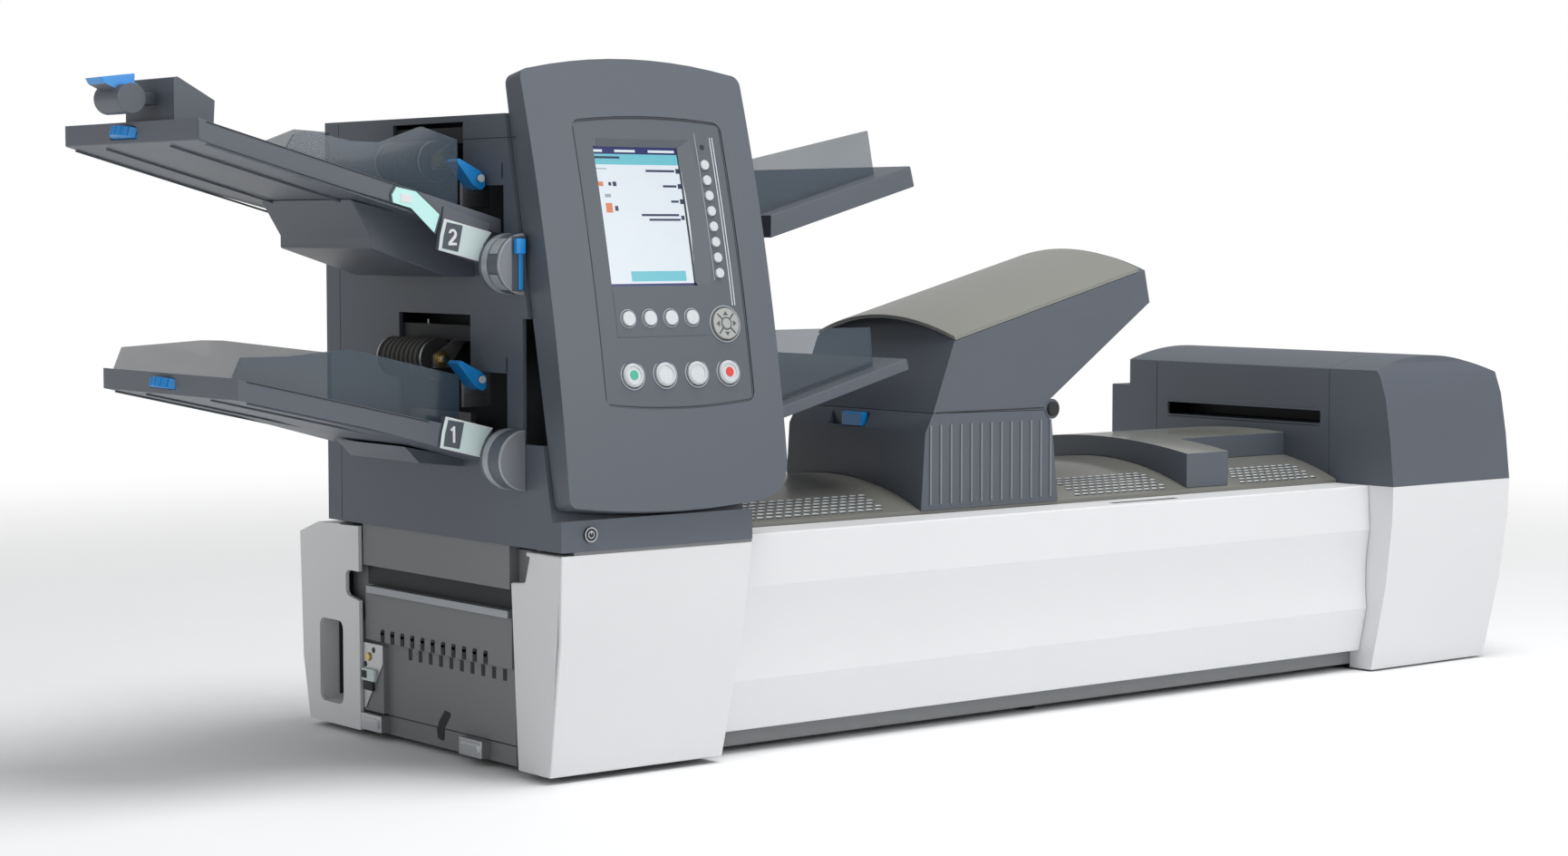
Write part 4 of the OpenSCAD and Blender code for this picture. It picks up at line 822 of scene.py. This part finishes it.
DRUM_FRONT = -160.0
for tray, z in (("a", BASE_TOP + 76), ("c", BASE_TOP + 245)):
    rims = [slice_of(disc(0, -z, y0, y1, r, sides=64), (-0.2, 0, 0), (1, 0, 0))
            for y0, y1, r in ((-141.4, -133, 26.7), (DRUM_FRONT - 0.7, DRUM_FRONT + 2, 26.4))]
    detail(rims, ACROSS, f"drum_{tray}_rims", "machine", "slate_plastic", RIM, edge=0.4)
    face = slice_of(disc(0, -z, DRUM_FRONT - 1.1, DRUM_FRONT - 0.5, 25.2, sides=64), (-0.4, 0, 0), (1, 0, 0))
    detail([face], ACROSS, f"drum_{tray}_face", "machine", "slate_plastic", DRUM, edge=0.2)
pads = []
for low in (-463.0, -432.0):
    pad = slice_of(disc(0, -441, -156, -144, 26.9, sides=64), (-6, 0, 0), (1, 0, 0))
    pads.append(slice_of(slice_of(pad, (0, low, 0), (0, -1, 0)), (0, low + 13, 0), (0, 1, 0)))
detail(pads, ACROSS, "drum_pads", "machine", "pearl_key", RIM, edge=0.4)
drum_front = facing_front(DRUM_FRONT)
# The pocket is a flat dark plate under the handle: painted shade of a recess.
detail([block(-13, -0.6, 418, 465, 1.0, 1.5)], drum_front, "drum_pocket_shade", "machine", "black_rubber", INK, edge=0)
handle = as_one([block(-11.5, -2, 450, 463, 1.2, 6.5), block(-7, -2.6, 419, 451, 1.2, 3.2)])
detail([handle], drum_front, "drum_handle", "machine", "blue_plastic", BLUE, edge=1.2)
print("drums made")

# %% [markdown]
# ## Docking end
# The left end of the base is bare sheet metal: a light bar, slotted plates, a zinc bracket with a screw and
# two bright catches, where a further feeder would dock. The slots could be cut through, but only shade lies
# behind them, so thin dark plates paint that shade, as do dark strips in the holes and along the bends.

# %% Docking details
dock = facing_left(4)
detail([block(-115, 128, 131.4, 138.2, 0.4, 2.6)], dock, "dock_bar", "machine", "chassis_paint", RIM, edge=0.5)
detail([block(-124, 128, 138.4, 156, -7, -5.6)], dock, "dock_shadow", "machine", "chassis_paint", DARK, edge=0)
SLOT_PITCH = 17.8
uppers = [-96.5 + SLOT_PITCH * i for i in range(11)]
# The slots are thin dark plates: painted shade.
slots = [block(u, u + 6, 86.3, 95.5, -2.4, -1.9) for u in uppers]
slots += [disc(u + 3, 95.5, -2.4, -1.9, 3, sides=20) for u in uppers]
slots += [block(-52.7 + SLOT_PITCH * i, -46.7 + SLOT_PITCH * i, 74, 84.5, -6.2, -5.8) for i in range(10)]
detail(slots, dock, "dock_slot_shade", "machine", "chassis_paint", DARK, edge=0)
# Dark strips along the bends: painted shade in the creases.
detail([block(-124, 128, 17.4, 18.4, -6.2, -5.7), block(-124, 128, 197, 197.6, 0, 0.3)], dock, "dock_bend_shade", "machine",
       "chassis_paint", DARK, edge=0)
bracket = drawn([(-123, 84), (-88, 84), (-88, 66), (-119, 22), (-123, 22)], -0.2, 1.2)
detail([bracket], dock, "dock_bracket", "machine", "plain_steel", STEEL, edge=0.4)
# The holes are dark discs and a dark plate: painted shade.
holes = [disc(-104, 78, 1.1, 1.4, 2.8), disc(-119, 63.5, 1.1, 1.4, 2.8), block(-121, -112, 51, 58, 4.1, 4.5)]
detail(holes, dock, "dock_hole_shade", "machine", "black_rubber", DARK, edge=0)
detail([disc(-113, 71, 1.0, 2.8, 4.0)], dock, "dock_screw", "machine", "plain_steel", BRASS, edge=0.6)
detail([block(-122, -99, 48.5, 60, 1.0, 4.2)], dock, "dock_connector", "machine", "pearl_key", LABEL, edge=0.6)
detail([block(-120, -103, 39.5, 48.5, 1.0, 3.6)], dock, "dock_plug", "machine", "black_rubber", DARK, edge=0.5)
for name, u in (("rear", -123), ("front", 50)):
    catch = as_one([block(u, u + 37, 2, 17.6, 3.6, 4.6), block(u + 4, u + 33, 6, 13.6, 4.4, 6.2)])
    detail([catch], dock, f"dock_catch_{name}", "machine", "plain_steel", CHROME, edge=0.5)
# The bent slot is a thin dark plate: painted shade.
bent = drawn([(10, 35), (19, 34), (20, 31), (10, 19), (9, 8), (6, 6.5), (-2, 8), (-4, 15), (0, 24)], -6.2, -5.8)
detail([bent], dock, "dock_bent_slot_shade", "machine", "black_rubber", DARK, edge=0)
detail([block(21, 37, 198.6, 200.2, 24, 95)], RULER, "recess_shadow", "machine", "black_rubber", DARK, edge=0)
print("docking details made")

# %% [markdown]
# ## Deck and hopper
# Three fields of small louvres let air through the deck. One louvre is modelled, copied with a mesh of
# its own and turned to lie on the crown. A bump could suggest them, but low hoods stand out from every side.
# The hoods are pale as a painted highlight, and a dark plate in each mouth is painted shade.

# %% Deck louvres
DECK_RADIUS, DECK_CREST = 359.0, 32.0


def deck_height(y):
    return BASE_TOP + DECK_CREST - DECK_RADIUS + math.sqrt(DECK_RADIUS**2 - y * y)


# Pale hoods are a painted highlight, and the dark mouths are painted shade.
hood = drawn([(-4, -0.2), (4, -0.2), (3.2, 1.6), (0, 2.3), (-3.2, 1.6)], -0.5, 0.7)
mouth = block(-4, 4, -1.7, -0.1, -0.5, 0.14)
PITCH_X, PITCH_Y = 11.0, 6.4
for name, x0, x1, rows in (("left", 256, 440, 6), ("middle", 684, 824, 7), ("right", 926, 1050, 6)):
    for shape, part, slot, material in ((hood, "hood_highlights", "pearl_key", PEARL), (mouth, "mouth_shade", "black_rubber", DARK)):
        field = []
        for row in range(rows):
            y = -131.8 + PITCH_Y * row
            lean = Matrix.Rotation(-math.asin(y / DECK_RADIUS), 4, "X")
            first = x0 + PITCH_X / 2 * (row % 2)
            for column in range(int((x1 - first) / PITCH_X)):
                place = Matrix.Translation((first + PITCH_X * column, y, deck_height(y)))
                field.append(copy_of(shape, place @ lean))
        detail(field, RULER, f"louvre_{part}_{name}", "machine", slot, material, edge=0)
    print(len(field), "louvres", name)
for shape in (hood, mouth):
    bpy.data.objects.remove(shape)

# %% [markdown]
# The top of the middle cover is glossier than its sides. A second cover on top would need a seam of its own,
# so the faces that look up just get a second finish. Ribs and a knob then finish the hopper's front.

# %% Middle cover and ledge
two_tone("mid_cover", TAUPE, lambda polygon: polygon.normal.z > 0.8)
# A dark plate in the ledge's slot: painted shade.
ledge_slot_shade = block(700, 792, -168, -161, BASE_TOP - 0.3, BASE_TOP + 0.15)
detail([ledge_slot_shade], RULER, "ledge_slot_shade", "machine", "black_rubber", DARK, edge=0)
print("middle cover in two finishes")

# %% Hopper details
hopper_front = facing_front(-140.5)
RIB_PITCH = 13.2
# The ribs take a lighter grey than the slate around them: a painted highlight.
ribs = [block(478 + RIB_PITCH * i, 480.2 + RIB_PITCH * i, BASE_TOP + 9, BASE_TOP + 86, -0.4, 1.3) for i in range(13)]
detail(ribs, hopper_front, "hopper_ribs", "machine", "slate_plastic", DRUM, edge=0.5)
knob = disc(640.2, BASE_TOP + 96.2, -0.5, 3.2, 7.2)
detail([knob], hopper_front, "hopper_pivot_knob", "machine", "black_rubber", RUBBER, edge=0.9)
seam = block(486, 628, BASE_TOP + 97.2, BASE_TOP + 98.4, -0.5, 0.25)
detail([seam], hopper_front, "hopper_seam", "hopper_lid", "black_rubber", DARK, edge=0)
print("hopper details made")

# %% [markdown]
# ## Exit
# Fine seams divide the exit's left face, and a dark plate behind its slot paints the shade in the throat. The
# seams are thin dark strips, because a groove this fine would hardly show.

# %% Exit details
EXIT_X = 1067
exit_face = facing_left(EXIT_X)
seams = [block(-136.4, -135.6, BASE_TOP + 1, BASE_TOP + 122, -0.4, 0.12),
         block(-118, 113, BASE_TOP + 60.4, BASE_TOP + 61.4, -0.4, 0.15)]
detail(seams, exit_face, "exit_seams", "machine", "black_rubber", DARK, edge=0)
# A dark plate deep in the slot: painted shade.
throat = block(-117, 112, BASE_TOP + 63.5, BASE_TOP + 76.5, -40, -36)
detail([throat], exit_face, "exit_throat_shade", "machine", "black_rubber", DARK, edge=0)
lip = block(-118, 113, BASE_TOP + 77, BASE_TOP + 78.6, -0.4, 1.6)
detail([lip], exit_face, "exit_lip", "machine", "slate_plastic", SLATE, edge=0.5)
print("exit details made")

# %% [markdown]
# ## Studio
# A pale floor that fades to white far away, three large soft lamps and an even pale sky light the machine
# plainly, so that each colour shows about as it was mixed. Small lamps would give hard shadows.

# %% Floor
deselect()
bpy.ops.mesh.primitive_plane_add(size=40, location=(0, 0, 0))
floor = bpy.context.object
floor.name = "studio_floor"
floor_paint, floor_shader, floor_place = finish("studio_floor")
mottle = noise(floor_place, 3.0)
join(mottle.blend(paint(236, 237, 238), paint(240, 241, 242)), floor_shader, "Base Color")
join(mottle * 0.05 + 0.7, floor_shader, "Roughness")
reach = floor_place.node("ShaderNodeVectorMath", {"operation": "LENGTH"}, {0: floor_place}, out=1)
fade = reach.node("ShaderNodeMapRange", {"interpolation_type": "SMOOTHSTEP"}, {0: reach, 1: 0.9, 2: 3.2})
glow = fade.node("ShaderNodeEmission", {}, {"Color": (1, 1, 1, 1), "Strength": 1.0})
mixed = fade.node("ShaderNodeMixShader", {}, {0: fade, 1: Wire(floor_shader.outputs[0]), 2: glow})
floor_output = next(n for n in floor_paint.node_tree.nodes if n.type == "OUTPUT_MATERIAL")
join(mixed, floor_output, "Surface")
floor.data.materials.append(floor_paint)
print("floor laid")


# %% Lamps and sky
def lamp(name, place, target, size, watts):
    data = bpy.data.lights.new(name, "AREA")
    data.shape, data.size, data.energy = "DISK", size, watts
    made = bpy.data.objects.new(name, data)
    made.location = place
    made.rotation_euler = (Vector(target) - Vector(place)).to_track_quat("-Z", "Y").to_euler()
    bpy.context.scene.collection.objects.link(made)


lamp("front_lamp", (0.9, -3.2, 1.5), (0.1, 0, 0.3), 2.0, 30)
lamp("left_lamp", (-3.2, -0.6, 1.6), (-0.3, 0, 0.3), 1.8, 7)
lamp("top_lamp", (0.3, -0.9, 3.4), (0, 0, 0.3), 2.0, 95)
world = bpy.data.worlds.new("studio_sky")
bpy.context.scene.world = world
world.use_nodes = True
sky = next(n for n in world.node_tree.nodes if n.type == "BACKGROUND")
sky.inputs["Color"].default_value = (1, 1, 1, 1)
seen = world.node_tree.nodes.new("ShaderNodeLightPath")
camera_ray = Wire(seen.outputs["Is Camera Ray"]) + Wire(seen.outputs["Is Transmission Ray"])
join(camera_ray * 0.58 + 0.42, sky, "Strength")
bpy.context.scene.view_settings.view_transform = "Standard"
print(len(bpy.data.lights), "lamps")
